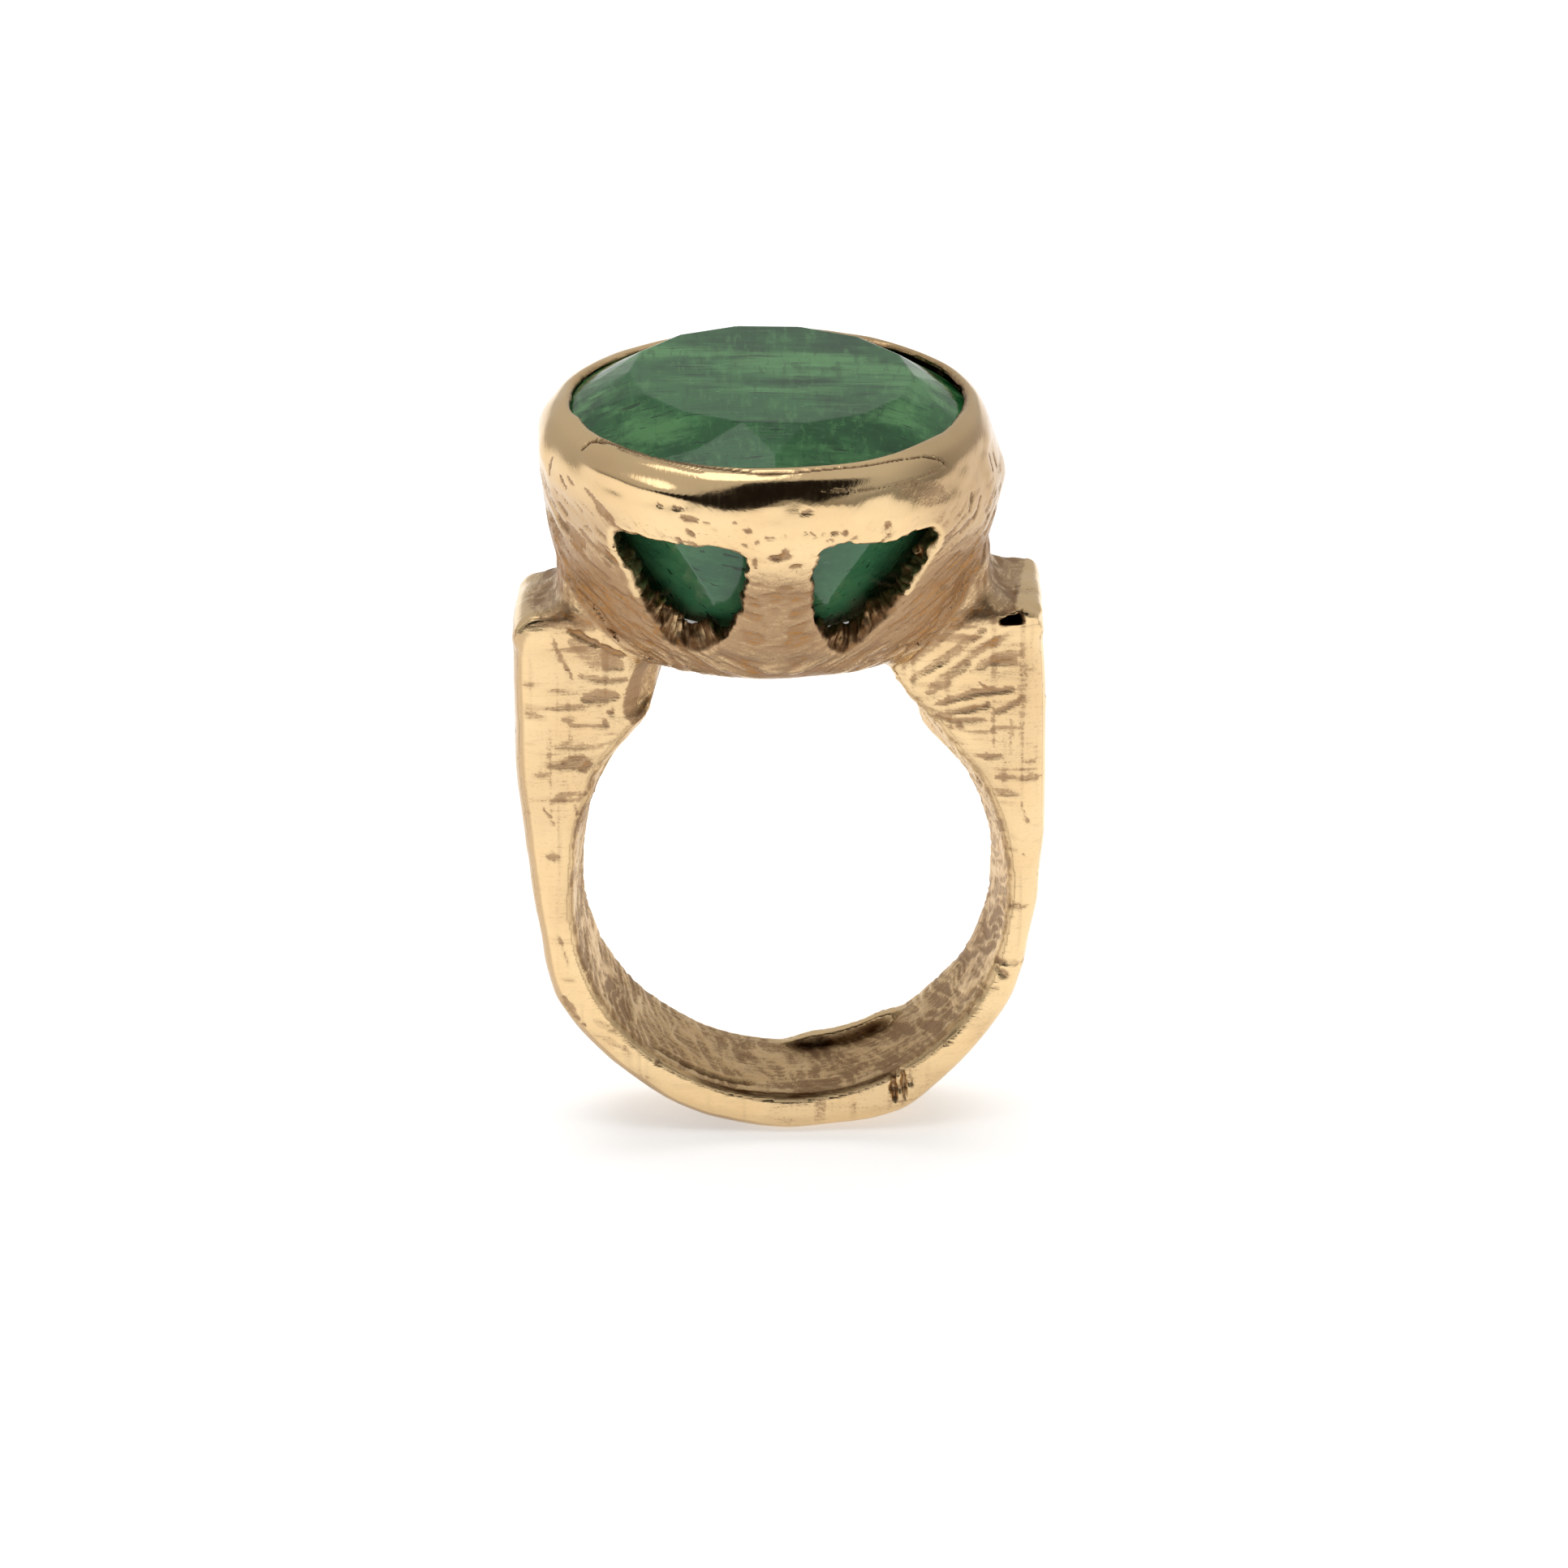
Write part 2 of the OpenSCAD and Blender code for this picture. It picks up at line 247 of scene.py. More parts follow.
def dents(p, scale, seed):
    """Hammer dents: distance to the nearest and to the second nearest random point."""
    q = p * np.asarray(scale)
    base = np.floor(q).astype(np.int64)
    first = np.full(len(p), 9.0)
    second = np.full(len(p), 9.0)
    for i in range(27):
        o = np.array([i % 3 - 1, i // 3 % 3 - 1, i // 9 - 1])
        cell = (base + o).T
        d = sum((cell[a] + hashed(cell, seed + a) - q[:, a]) ** 2 for a in range(3))
        second = np.where(d < first, first, np.minimum(second, d))
        first = np.minimum(first, d)
    return np.sqrt(first), np.sqrt(second)


# ---------------------------------------------------------------- the gold's field

def axis_line(i):
    """The grid's places along one axis."""
    n = int(round((GRID_HIGH[i] - GRID_LOW[i]) / STEP)) + 1
    return (GRID_LOW[i] + STEP * np.arange(n)).astype(np.float32)


def outer_distance(x, z):
    """Signed distance to the shank's outer outline, in the front view."""
    return outline_distance(smooth_line(OUTER_LINE, 5), x, z)


def part_of(line, low, high):
    """The stretch of a grid line between two places."""
    i = np.searchsorted(line, [low, high])
    return slice(int(i[0]), int(i[1]))


def hole_back_outline():
    """The back opening: a circle to 49 degrees either side, then the ramps' lines."""
    a = np.radians(np.arange(-229, 50, 3.0))
    r = FINGER_R + 0.48 * ramp(-np.degrees(a), 188, 218)
    circle = np.stack([r * np.cos(a), r * np.sin(a)], 1)
    return np.concatenate([circle, np.array(HOLE_BACK_TOP)])


def hole_front_outline():
    """The front opening: a hand-filed line over the top, then the circle below."""
    a = np.radians(np.arange(-4, -177, -4.0))
    circle = np.stack([FRONT_HOLE_R * np.cos(a), FRONT_HOLE_R * np.sin(a)], 1)
    line = smooth_line(HOLE_FRONT, 4, closed=False)
    return np.concatenate([line, circle])


def head_numbers(z):
    """The head's oval at a height: x half-axis, how much less the y half-axis is, and the shift."""
    fine = smooth_line(HEAD_OVALS, 8, closed=False)
    return [np.interp(z, fine[:, 0], fine[:, i]) for i in (1, 2, 3)]


def head_offset(x, y, z):
    """How far a point lies outside the head's outer oval at its height, along the ray from the middle."""
    a, less, shift = head_numbers(z)
    u = x - HEAD_X - shift
    r = np.sqrt(u * u + y * y) + 1e-6
    q = np.sqrt((u / a) ** 2 + (y / (a - less)) ** 2) + 1e-6
    return r * (1 - 1 / q), a


def head_section_field(x, y, z):
    """Cup, seat and collar before the windows are cut, from their common section."""
    rho_line = np.arange(3.0, 12.0, 0.05)
    section = smooth_line(HEAD_SECTION, 4)
    table = outline_distance(section, rho_line[:, None], z.ravel()[None, :])
    w, a = head_offset(x, y, z)
    rho = w + a
    out = np.empty(w.shape, np.float32)
    for k in range(w.shape[2]):
        out[:, :, k] = np.interp(rho[:, :, k], rho_line, table[:, k])
    return out, w


def window_distances(x, z):
    """Signed distances to the outlines of the left and the right window."""
    return [outline_distance(smooth_line(line, 4), x, z) for line in (LEFT_WINDOW, RIGHT_WINDOW)]


def window_field(x, y, z, w):
    """The two windows beside the front post, with their saw-cut sides rougher towards the inside."""
    left, right = window_distances(x, z)
    d = np.minimum(left, right)
    # The saw leaned: the outer lower sides of both windows narrow towards the inside.
    lean = np.where(left < right, ramp(-(x + 3.5) - 0.75 * (z - 15), -0.6, 1.4),
                    ramp((x - 2.2) - 0.75 * (z - 15), -0.6, 1.4))
    lean = lean * (0.45 + 0.85 * ramp(-z, -16.5, -13.6))
    near = np.abs(d) < 2
    i, j, k = np.nonzero(np.broadcast_to(near, w.shape) & (np.abs(w + WALL / 2) < WALL))
    p = np.stack([x.ravel()[i], y.ravel()[j], z.ravel()[k]], 1)
    depth = np.clip(-w[i, j, k] / WALL, 0, 1)
    rough = (0.10 * noise(p, (1.5, 0.25, 1.5), 3) + 0.10 * noise(p, (3.2, 0.5, 3.2), 5)
             + 0.08 * noise(p, (5.5, 1.4, 5.5), 8)) * (0.3 + depth)
    rough += depth * np.broadcast_to(lean, w.shape)[i, j, k]
    out = np.broadcast_to(d, w.shape).astype(np.float32).copy()
    out[i, j, k] += rough - 0.04 * depth
    return out


def shank_field(x, y, z):
    """The hollow shank: an outline along Y with rounded edges, the finger hole and the box inside."""
    lug = 0.03 * (y + 1.5) * ramp(x, 5, 7) * ramp(z, 11.5, 12.5)
    outer = outer_distance(x, z - lug).astype(np.float32)
    front = outline_distance(hole_front_outline(), x, z).astype(np.float32)
    back = outline_distance(hole_back_outline(), x, z).astype(np.float32)
    share = np.clip((y + HALF_W) / 4.2, 0, 1) ** 0.8
    hole = front * (1 - share) + back * share
    # A torn ledge of the back plate over a hollow in the band, low on the right.
    turn = np.degrees(np.arctan2(x, -z))
    torn = ramp(turn, -4, 8) * fall(turn, 27, 36) * (z < 0)
    hollowed = -0.34 * np.exp(-(LEDGE_Y - np.minimum(y, LEDGE_Y)) / 0.5)
    hole = hole + torn * np.where(y > LEDGE_Y, 0.3, hollowed)
    # The left shoulder's top dips to the back and has a fold near its front edge.
    fold = np.exp(-((y + 2.2 - 0.12 * np.sin(3 * x)) / 0.22) ** 2) * ramp(-x, 7.5, 8.5)
    top = (z - SHOULDER_Z - 0.1) + 0.08 * (y + HALF_W) - 0.14 * fold
    side = np.abs(y) - HALF_W
    body = smax(smax(outer, np.where(x < 0, top, -9), 0.3), side, 0.95 - 0.6 * ramp(z, 11.6, 12.8))
    # The left corner is filed off more towards the back, the right one at its front edge only.
    left_corner = (z - x - 24.6) / math.sqrt(2) + 0.75 * ramp(y, -1.5, 2.2)
    body = smax(body, left_corner, 0.8)
    right_corner = (z + x - 23.4) / math.sqrt(2) - 1.5 * ramp(y, -2.2, -1)
    body = smax(body, np.where(x > 0, right_corner, -9), 0.4)
    body = smax(body, -hole, 0.7 - 0.35 * ramp(-z, 5, 8))
    struck = outline_distance(LEFT_CHAMFER, x, z) + 1.05 * (y + HALF_W)
    body = smax(body, -0.7 * struck + 0.1 * np.abs(z - 9.55) - 0.05, 0.12)
    hollow = np.maximum.reduce(np.broadcast_arrays(
        np.abs(y) - HALF_W + PLATE_T, outer + STRIP_T, LINER_T - hole, z - SHOULDER_Z + CAP_T + 0.15))
    return body, hollow, outer, hole


def pocket_ratio(x, y, z):
    """1 on the wall of the open wedge at the right shoulder's front, less inside it."""
    u, v = x - POCKET_X, z - POCKET_Z
    side = np.maximum((np.abs(u) + 0.35 * np.abs(v)) / 0.45, np.abs(y - POCKET_Y) / 0.6)
    return np.maximum(side, np.maximum(-v / 0.12, v / np.maximum(0.10 + 0.25 * (u + 0.45), 0.05)))


def fillet_field(line, x, y, z, half):
    """A solder fillet: its outline over the shank's width, well rounded."""
    return smax(outline_distance(smooth_line(line, 4), x, z).astype(np.float32), np.abs(y) - half, 0.9)


def by_side(x, left, right):
    """The label of one piece left of the middle and of another right of it."""
    return np.where(x < 0, LABEL[left], LABEL[right])


def shank_owner(x, y, z, body, outer, hole, fillets):
    """The label of the shank's piece at each point."""
    middle = np.abs(y) < HALF_W - PLATE_T
    who = np.where(y < 0, LABEL["front_plate"], LABEL["back_plate"])
    who = np.where(middle, LABEL["outer_strip"], who)
    inner = middle & (hole < LINER_T) & (outer < -STRIP_T * 0.8)
    angle = np.arctan2(z, np.abs(x))
    ramps = by_side(x, "left_inner_ramp", "right_inner_ramp")
    who = np.where(inner, np.where(angle > LINER_END, ramps, LABEL["finger_liner"]), who)
    cap = middle & (z > SHOULDER_Z - 0.3 - CAP_T) & (outer < -0.35)
    cap = cap & (np.abs(x) < np.where(x < 0, 10.6, 9.6)) & (np.abs(x) > 5)
    who = np.where(cap, by_side(x, "left_shoulder_cap", "right_shoulder_cap"), who)
    solder = (fillets < body) & (z > SHOULDER_Z - 0.5)
    return np.where(solder, by_side(x, "left_head_solder", "right_head_solder"), who)


def shank_part(x, y, z):
    """The shank with its fillets, its hollow and the open pocket, and the label at each point."""
    body, hollow, outer, hole = shank_field(x, y, z)
    w, _ = head_offset(x, y, np.clip(z, HEAD_OVALS[0][0], 22))
    cup_inside = np.maximum(w + WALL, CUP_Z - z)
    body = smax(body, -cup_inside, 0.4)
    left = smax(fillet_field(LEFT_FILLET, x, y - 0.05, z, HALF_W), -(w + 0.5), 0.2)
    right = smax(fillet_field(RIGHT_FILLET, x, y - 0.05, z - 0.05 * (y + 1), HALF_W), -(w + 0.5), 0.2)
    fillets = np.minimum(left, right)
    who = shank_owner(x, y, z, body, outer, hole, fillets)
    who = np.where((w < 0) & (z > CUP_Z), LABEL["pierced_cup"], who)
    shank = smin(body, fillets, 1.3)
    shank = smax(shank, 0.15 * (1 - pocket_ratio(x, y, z)), 0.05)
    return np.maximum(shank, -hollow), who


def head_part(x, y, z, shank, shank_who):
    """Cup, seat and collar joined to the shank's part of the field, and the label at each point."""
    head, w = head_section_field(x, y, z)
    head = smax(head, -window_field(x, y, z, w), 0.22)
    # The union's fillet must not fill the windows or the cup.
    joined = np.where((w > -0.3) & (z < 16.5), smin(head, shank, 0.8), np.minimum(head, shank))
    who = np.where(z > COLLAR_Z, LABEL["bezel_collar"], LABEL["pierced_cup"])
    _, a = head_offset(x, y, z)
    seat = (z > COLLAR_Z) & (z < SEAT_TOP) & (w + a < 8.6)
    who = np.where(seat, LABEL["seat_ring"], who)
    nearer = (shank > 1.5) | (head < shank)
    mine = nearer & (w < 0.02) | (z > 15.6) | (shank_who == 0)
    return joined, np.where(mine, who, shank_who)


def gold_field():
    """The distance field of all gold and the CAD node each point belongs to, on the whole grid."""
    gx, gy, gz = axis_line(0), axis_line(1), axis_line(2)
    field = np.full((len(gx), len(gy), len(gz)), 2.0, np.float32)
    label = np.zeros(field.shape, np.int8)
    sy, sz = part_of(gy, -3.1, 3.1), part_of(gz, -12, 16)
    field[:, sy, sz], label[:, sy, sz] = shank_part(gx[:, None, None], gy[None, sy, None], gz[None, None, sz])
    hz = part_of(gz, 10.2, 30)
    field[:, :, hz], label[:, :, hz] = head_part(gx[:, None, None], gy[None, :, None], gz[None, None, hz],
                                                 field[:, :, hz], label[:, :, hz])
    label[field >= 0] = 0
    return field, label


# ---------------------------------------------------------------- meshing

CORNERS = [(c & 1, c >> 1 & 1, c >> 2) for c in range(8)]
EDGES = [(a, b) for a in range(8) for b in range(a + 1, 8) if bin(a ^ b).count("1") == 1]


def surface_net(field, label):
    """Points in millimetres, quads, and for each quad the label it belongs to and the one beyond it."""
    size = np.array(label.shape) - 1

    def view(grid, c):
        return grid[c[0]:c[0] + size[0], c[1]:c[1] + size[1], c[2]:c[2] + size[2]]

    first = view(label, CORNERS[0])
    mixed = np.zeros(size, bool)
    for c in CORNERS[1:]:
        mixed |= view(label, c) != first
    cell = np.argwhere(mixed)
    index = np.full(size, -1, np.int64)
    index[mixed] = np.arange(len(cell))
    labels = np.stack([view(label, c)[mixed] for c in CORNERS], 1)
    values = np.stack([view(field, c)[mixed] for c in CORNERS], 1)
    rim = (labels == 0).any(1) & (labels != 0).any(1)
    total, count = np.zeros((len(cell), 3)), np.zeros(len(cell))
    for a, b in EDGES:
        la, lb, va, vb = labels[:, a], labels[:, b], values[:, a], values[:, b]
        crossing = np.where(rim, (la == 0) != (lb == 0), la != lb)
        t = np.where(rim, va / np.where(np.abs(va - vb) < 1e-9, 1, va - vb), 0.5)
        t = np.clip(t, 0, 1)[:, None]
        point = (1 - t) * np.array(CORNERS[a]) + t * np.array(CORNERS[b])
        total += np.where(crossing[:, None], point, 0)
        count += crossing
    points = GRID_LOW + STEP * (cell + total / np.maximum(count, 1)[:, None])

    quads, owner, other = [], [], []
    for axis in range(3):
        u, v = (axis + 1) % 3, (axis + 2) % 3
        low = [slice(None)] * 3
        high = [slice(None)] * 3
        low[axis], high[axis] = slice(0, -1), slice(1, None)
        a, b = label[tuple(low)], label[tuple(high)]
        where = np.argwhere(a != b)
        within = (where[:, u] > 0) & (where[:, u] < size[u]) & (where[:, v] > 0) & (where[:, v] < size[v])
        where = where[within]
        la, lb = a[tuple(where.T)], b[tuple(where.T)]
        ring = []
        for du, dv in ((1, 1), (0, 1), (0, 0), (1, 0)):
            c = where.copy()
            c[:, u] -= du
            c[:, v] -= dv
            ring.append(index[tuple(c.T)])
        ring = np.stack(ring, 1)
        for mine, yours, order in ((la, lb, ring), (lb, la, ring[:, ::-1])):
            keep = mine > 0
            quads.append(order[keep])
            owner.append(mine[keep])
            other.append(yours[keep])
    return points, rim, np.concatenate(quads), np.concatenate(owner), np.concatenate(other)


def sample(field, p):
    """The field at points in millimetres, interpolated."""
    q = (p - GRID_LOW) / STEP
    q = np.clip(q, 0, np.array(field.shape) - 1.001)
    i = q.astype(int)
    f = q - i
    total = 0
    for c in CORNERS:
        w = np.prod([f[:, k] if c[k] else 1 - f[:, k] for k in range(3)], axis=0)
        total = total + w * field[i[:, 0] + c[0], i[:, 1] + c[1], i[:, 2] + c[2]]
    return total


def slope(field, p, reach):
    """The field's gradient at points, over twice the reach."""
    g = np.stack([sample(field, p + reach * e) - sample(field, p - reach * e) for e in np.eye(3)], 1)
    return g / (2 * reach)


def settle(field, p, rim):
    """Moves the rim's points onto the field's zero surface and returns their outward directions."""
    q = p[rim]
    for _ in range(2):
        g = slope(field, q, STEP * 0.5)
        move = -sample(field, q)[:, None] * g / np.maximum((g * g).sum(1), 0.25)[:, None]
        q = q + np.clip(move, -0.4 * STEP, 0.4 * STEP)
    p = p.copy()
    p[rim] = q
    n = np.zeros_like(p)
    g = slope(field, q, STEP)
    n[rim] = g / np.maximum(np.linalg.norm(g, axis=1), 1e-6)[:, None]
    return p, n


def corner_normals(points, quads, outer):
    """Smooth normals over the outer faces, and flat ones for the hidden joint faces."""
    a, b, c, d = (points[quads[:, i]] for i in range(4))
    flat = np.cross(c - a, d - b)
    smooth = np.zeros_like(points)
    for i in range(4):
        for axis in range(3):
            smooth[:, axis] += np.bincount(quads[outer, i], flat[outer, axis], len(points))
    smooth /= np.maximum(np.linalg.norm(smooth, axis=1), 1e-12)[:, None]
    flat /= np.maximum(np.linalg.norm(flat, axis=1), 1e-12)[:, None]
    return smooth, flat


def place(name, data):
    """A new object in the scene."""
    obj = bpy.data.objects.new(name, data)
    bpy.context.scene.collection.objects.link(obj)
    return obj


def build_piece(name, points, quads, normals, attributes, material):
    """One closed mesh object from its share of the quads."""
    used, local = np.unique(quads, return_inverse=True)
    local = local.reshape(-1)
    mesh = bpy.data.meshes.new(name + "_form")
    mesh.vertices.add(len(used))
    mesh.vertices.foreach_set("co", (points[used] * MM).astype(np.float32).ravel())
    mesh.loops.add(len(local))
    mesh.loops.foreach_set("vertex_index", local.astype(np.int32))
    mesh.polygons.add(len(quads))
    mesh.polygons.foreach_set("loop_start", np.arange(0, len(local), 4, dtype=np.int32))
    mesh.polygons.foreach_set("use_smooth", np.ones(len(quads), bool))
    mesh.update(calc_edges=True)
    mesh.validate()
    for key, value in attributes.items():
        if value.ndim == 1:
            layer = mesh.attributes.new(key, "FLOAT", "POINT")
            layer.data.foreach_set("value", value[used].astype(np.float32))
        else:
            layer = mesh.attributes.new(key, "FLOAT_VECTOR", "POINT")
            layer.data.foreach_set("vector", value[used].astype(np.float32).ravel())
    if len(mesh.loops) == len(local):
        mesh.normals_split_custom_set(normals.reshape(-1, 3).astype(np.float32))
    mesh.materials.append(material)
    return place(name + "_look", mesh)


# ---------------------------------------------------------------- tool marks, painted shade and painted highlights

# Marks on the front face: points (x, z), half width, depth, and how brown each stays.
LEFT_MARKS = [
    ([(-9.2, 12.9), (-8, 12.15), (-6.9, 11.6)], 0.16, 0.26, 1),
    ([(-9, 12.3), (-8.1, 11.7), (-7, 11.05)], 0.42, 0.1, 0.55),
    ([(-9.9, 12.75), (-9.5, 11.5), (-9, 10.5)], 0.09, 0.1, 0.8),
    ([(-8.6, 9.65), (-7.1, 9.75)], 0.27, 0.13, 0.75),
    ([(-8.7, 10.65), (-7.9, 10.45), (-6.8, 10.5)], 0.13, 0.09, 0.6),
    ([(-7.5, 9.05), (-7.35, 8.95)], 0.12, 0.12, 0.9),
    ([(-7.7, 8.7), (-7.7, 8.5)], 0.1, 0.11, 0.8),
    ([(-9.45, 8.7), (-8.75, 8.7)], 0.14, 0.07, 0.6),
    ([(-9.15, 8.4), (-7.6, 8.38)], 0.11, 0.08, 0.6),
    ([(-9.9, 7.4), (-7.75, 7.4)], 0.12, 0.07, 0.5),
    ([(-9.5, 7.5), (-9.2, 7.45)], 0.17, 0.07, 0.6),
    ([(-9.15, 7), (-8.4, 7)], 0.12, 0.06, 0.5),
    ([(-9.5, 6.8), (-9.35, 6.7)], 0.1, 0.09, 0.8),
    ([(-10.6, 6.2), (-9.9, 6.2)], 0.13, 0.05, 0.5),
    ([(-8.8, 6.35), (-8.2, 6.6)], 0.12, 0.14, 0.7),
    ([(-8.4, 6.75), (-8.6, 6.2)], 0.1, 0.1, 0.7),
    ([(-9.7, 5.25), (-8.4, 5.2)], 0.13, 0.05, 0.6),
    ([(-9.9, 5), (-9, 4.97)], 0.08, 0.05, 0.5),
    ([(-8.98, 4.8), (-8.84, 4.25)], 0.07, 0.08, 0.7),
    ([(-10.25, 4.6), (-9.8, 3.8)], 0.07, 0.08, 0.8),
    ([(-10.1, 2.4), (-9.65, 2.35)], 0.2, 0.08, 0.7),
    ([(-10, 9), (-9.95, 4.5)], 0.06, 0.05, 0.4),
    ([(-9.2, 9.6), (-9.1, 6.9)], 0.06, 0.04, 0.3),
    ([(-9.7, -1.3), (-9.3, -2.75)], 0.08, 0.08, 0.7),
    ([(-9.6, -3.35), (-8.9, -3.4)], 0.1, 0.07, 0.5),
    ([(-9.6, -4.3), (-9.2, -4.9), (-8.95, -5.3)], 0.16, 0.16, 0.9),
    ([(-8.75, -5.5), (-8.6, -5.6)], 0.12, 0.16, 1),
    ([(-5.65, -7.25), (-5.5, -7.3)], 0.1, 0.15, 1),
    ([(-8.2, -5.3), (-7.3, -5.9)], 0.16, 0.05, 0.5),
    ([(-7.9, -6.2), (-6.9, -6.7)], 0.14, 0.05, 0.5),
]
RIGHT_MARKS = [
    ([(5, 10.3), (6.5, 11.4), (8, 12.7)], 0.2, 0.15, 0.75),
    ([(5.7, 9.75), (6.6, 10.5), (7.5, 11.1)], 0.26, 0.13, 0.7),
    ([(4.6, 10.8), (5.9, 12.1), (7, 13.1)], 0.24, 0.15, 0.75),
    ([(7.3, 11.6), (8.6, 12.3)], 0.16, 0.08, 0.55),
    ([(7.4, 10.7), (8.6, 11.3), (9.6, 11.5)], 0.2, 0.09, 0.55),
    ([(5.85, 9.1), (7.5, 9.7), (9.3, 9.85)], 0.15, 0.14, 0.85),
    ([(5.95, 8.6), (7.2, 8.85), (8.3, 9.2)], 0.13, 0.12, 0.8),
    ([(8.5, 8.85), (9.1, 9.1), (9.65, 9.55)], 0.13, 0.1, 0.75),
    ([(7.8, 10.2), (8.25, 9.8)], 0.07, 0.09, 1),
    ([(7.7, 6.8), (8.8, 6.8)], 0.15, 0.09, 0.8),
    ([(8.5, 5.8), (10.4, 5.75)], 0.14, 0.08, 0.7),
    ([(9.6, 6.5), (10.2, 6.5)], 0.08, 0.05, 0.5),
    ([(6.6, 8.2), (7.2, 8.25)], 0.09, 0.08, 0.6),
    ([(6.85, 7.4), (7.25, 7.35)], 0.09, 0.07, 0.6),
    ([(9.6, 4.65), (9.9, 3.7)], 0.08, 0.08, 0.8),
    ([(8.42, 9.3), (8.44, 7.1)], 0.06, 0.05, 0.5),
    ([(9.2, 8.6), (9.15, 7)], 0.07, 0.04, 0.4),
    ([(9.15, 2.45), (9.55, 2.4)], 0.08, 0.07, 0.7),
    ([(9.7, 2.3), (9.75, 2.25)], 0.09, 0.09, 1),
    ([(9.3, -0.2), (10, -0.2)], 0.16, 0.1, 0.6),
    ([(8.6, -2.8), (9.7, -2.95)], 0.13, 0.14, 0.75),
    ([(8.7, -3.15), (9.2, -3.45)], 0.16, 0.16, 0.8),
    ([(8.6, -3.95), (8.75, -4)], 0.13, 0.07, 0.6),
    ([(4.3, -7.8), (4.45, -9.3)], 0.11, 0.42, 0.7),
    ([(4.72, -7.75), (4.87, -9.1)], 0.1, 0.38, 0.65),
    ([(5.05, -7.8), (5.15, -8.6)], 0.07, 0.28, 0.5),
    ([(6.5, -6.6), (6.9, -6.5)], 0.08, 0.05, 0.6),
    ([(0.5, -9.75), (3.4, -9.6)], 0.07, 0.05, 0.6),
]

# Marks on the cup and collar: as above, but with points (degrees round from the front, height up the wall).
HEAD_MARKS = [
    ([(-62, 22.2), (-62, 22.75), (-60, 23), (-51, 23.1), (-38, 23.12), (-26, 23.05), (-13, 22.9), (-4, 22.75),
      (6, 22.8), (16, 22.85), (27, 22.76), (38, 22.7), (47, 22.4), (52, 21.9), (54, 21.4)], 0.055, 0.2, 1),
    ([(-62.5, 22), (-62, 22.7), (-57, 22.95)], 0.07, 0.2, 1),
    ([(-52, 22.9), (-38, 22.9), (-22, 22.7)], 0.07, 0.12, 0.5),
    ([(13, 21.64), (24, 21.45), (33, 21.33), (41, 21.32), (54, 21.5)], 0.04, 0.08, 0.7),
    ([(38, 20.9), (50, 20.4)], 0.42, 0.06, 0.5),
    ([(42, 20.3), (52, 20.1)], 0.25, 0.06, 0.45),
    ([(-73, 20.8), (-74, 20.2), (-73.5, 19.9)], 0.07, 0.08, 0.7),
    ([(-68, 20.3), (-65, 19.9)], 0.08, 0.1, 0.8),
    ([(-64, 20.45), (-61, 20.2)], 0.07, 0.1, 0.7),
    ([(-57, 20.4), (-53, 20.1), (-51, 19.4)], 0.1, 0.1, 0.7),
    ([(-53, 20), (-47, 19.3)], 0.22, 0.12, 0.7),
    ([(-49, 19.5), (-45, 18.9)], 0.12, 0.1, 0.7),
    ([(-33, 20.75), (-31, 20.6)], 0.06, 0.1, 0.8),
    ([(-29, 20.72), (-26, 20.65)], 0.07, 0.12, 0.9),
    ([(-26, 20.3), (-21, 20.25)], 0.13, 0.12, 0.85),
    ([(-20, 20.2), (-18, 20.15)], 0.06, 0.1, 0.7),
    ([(-26, 19.2), (-22, 19.1)], 0.08, 0.08, 0.7),
    ([(-12, 20.3), (-10, 20.3)], 0.05, 0.09, 0.8),
    ([(-8.5, 19.95), (-6.5, 19.9)], 0.13, 0.14, 0.9),
    ([(-9.2, 19.25), (-8, 19.2)], 0.06, 0.1, 0.8),
    ([(-5.5, 19.4), (-4.5, 19.35)], 0.1, 0.12, 0.8),
    ([(-6.2, 18.3), (-5.6, 18)], 0.08, 0.1, 0.8),
    ([(-2, 18.6), (1.5, 18.55)], 0.13, 0.12, 0.8),
    ([(7, 20.6), (10, 20.7)], 0.12, 0.12, 0.75),
    ([(9.5, 19.75), (11, 19.6)], 0.05, 0.1, 0.8),
    ([(15, 19.35), (16.5, 19.25)], 0.07, 0.1, 0.8),
    ([(18.5, 19.6), (20, 19.6)], 0.14, 0.12, 0.8),
    ([(21, 19.3), (23, 19.3)], 0.06, 0.08, 0.7),
    ([(31, 19.7), (32.5, 19.6)], 0.17, 0.1, 0.75),
    ([(26, 18.4), (29, 18.6)], 0.07, 0.08, 0.6),
    ([(41, 21.3), (42, 21)], 0.08, 0.1, 0.8),
    ([(62, 19.7), (60, 18.9)], 0.09, 0.1, 0.7),
    ([(66, 19.3), (63, 18.4)], 0.07, 0.1, 0.7),
    ([(76, 20.5), (75, 19.8)], 0.07, 0.1, 0.9),
    ([(80, 20.3), (79, 19.7)], 0.06, 0.1, 0.9),
    ([(1, 16.8), (5, 16.9)], 0.15, 0.09, 0.6),
    ([(-10, 16.3), (-6, 16.2)], 0.12, 0.08, 0.6),
]


def line_distance(u, v, points):
    """Distance from (u, v) to an open line, and how far along it the nearest place is, from 0 to 1."""
    best, along = np.full(len(u), 1e9), np.zeros(len(u))
    lengths = [math.dist(a, b) for a, b in zip(points, points[1:])]
    start, total = 0, sum(lengths)
    for (au, av), (bu, bv), length in zip(points, points[1:], lengths):
        t = np.clip(((u - au) * (bu - au) + (v - av) * (bv - av)) / length ** 2, 0, 1)
        d = np.hypot(u - au - t * (bu - au), v - av - t * (bv - av))
        nearer = d < best
        best = np.where(nearer, d, best)
        along = np.where(nearer, (start + t * length) / total, along)
        start += length
    return best, along


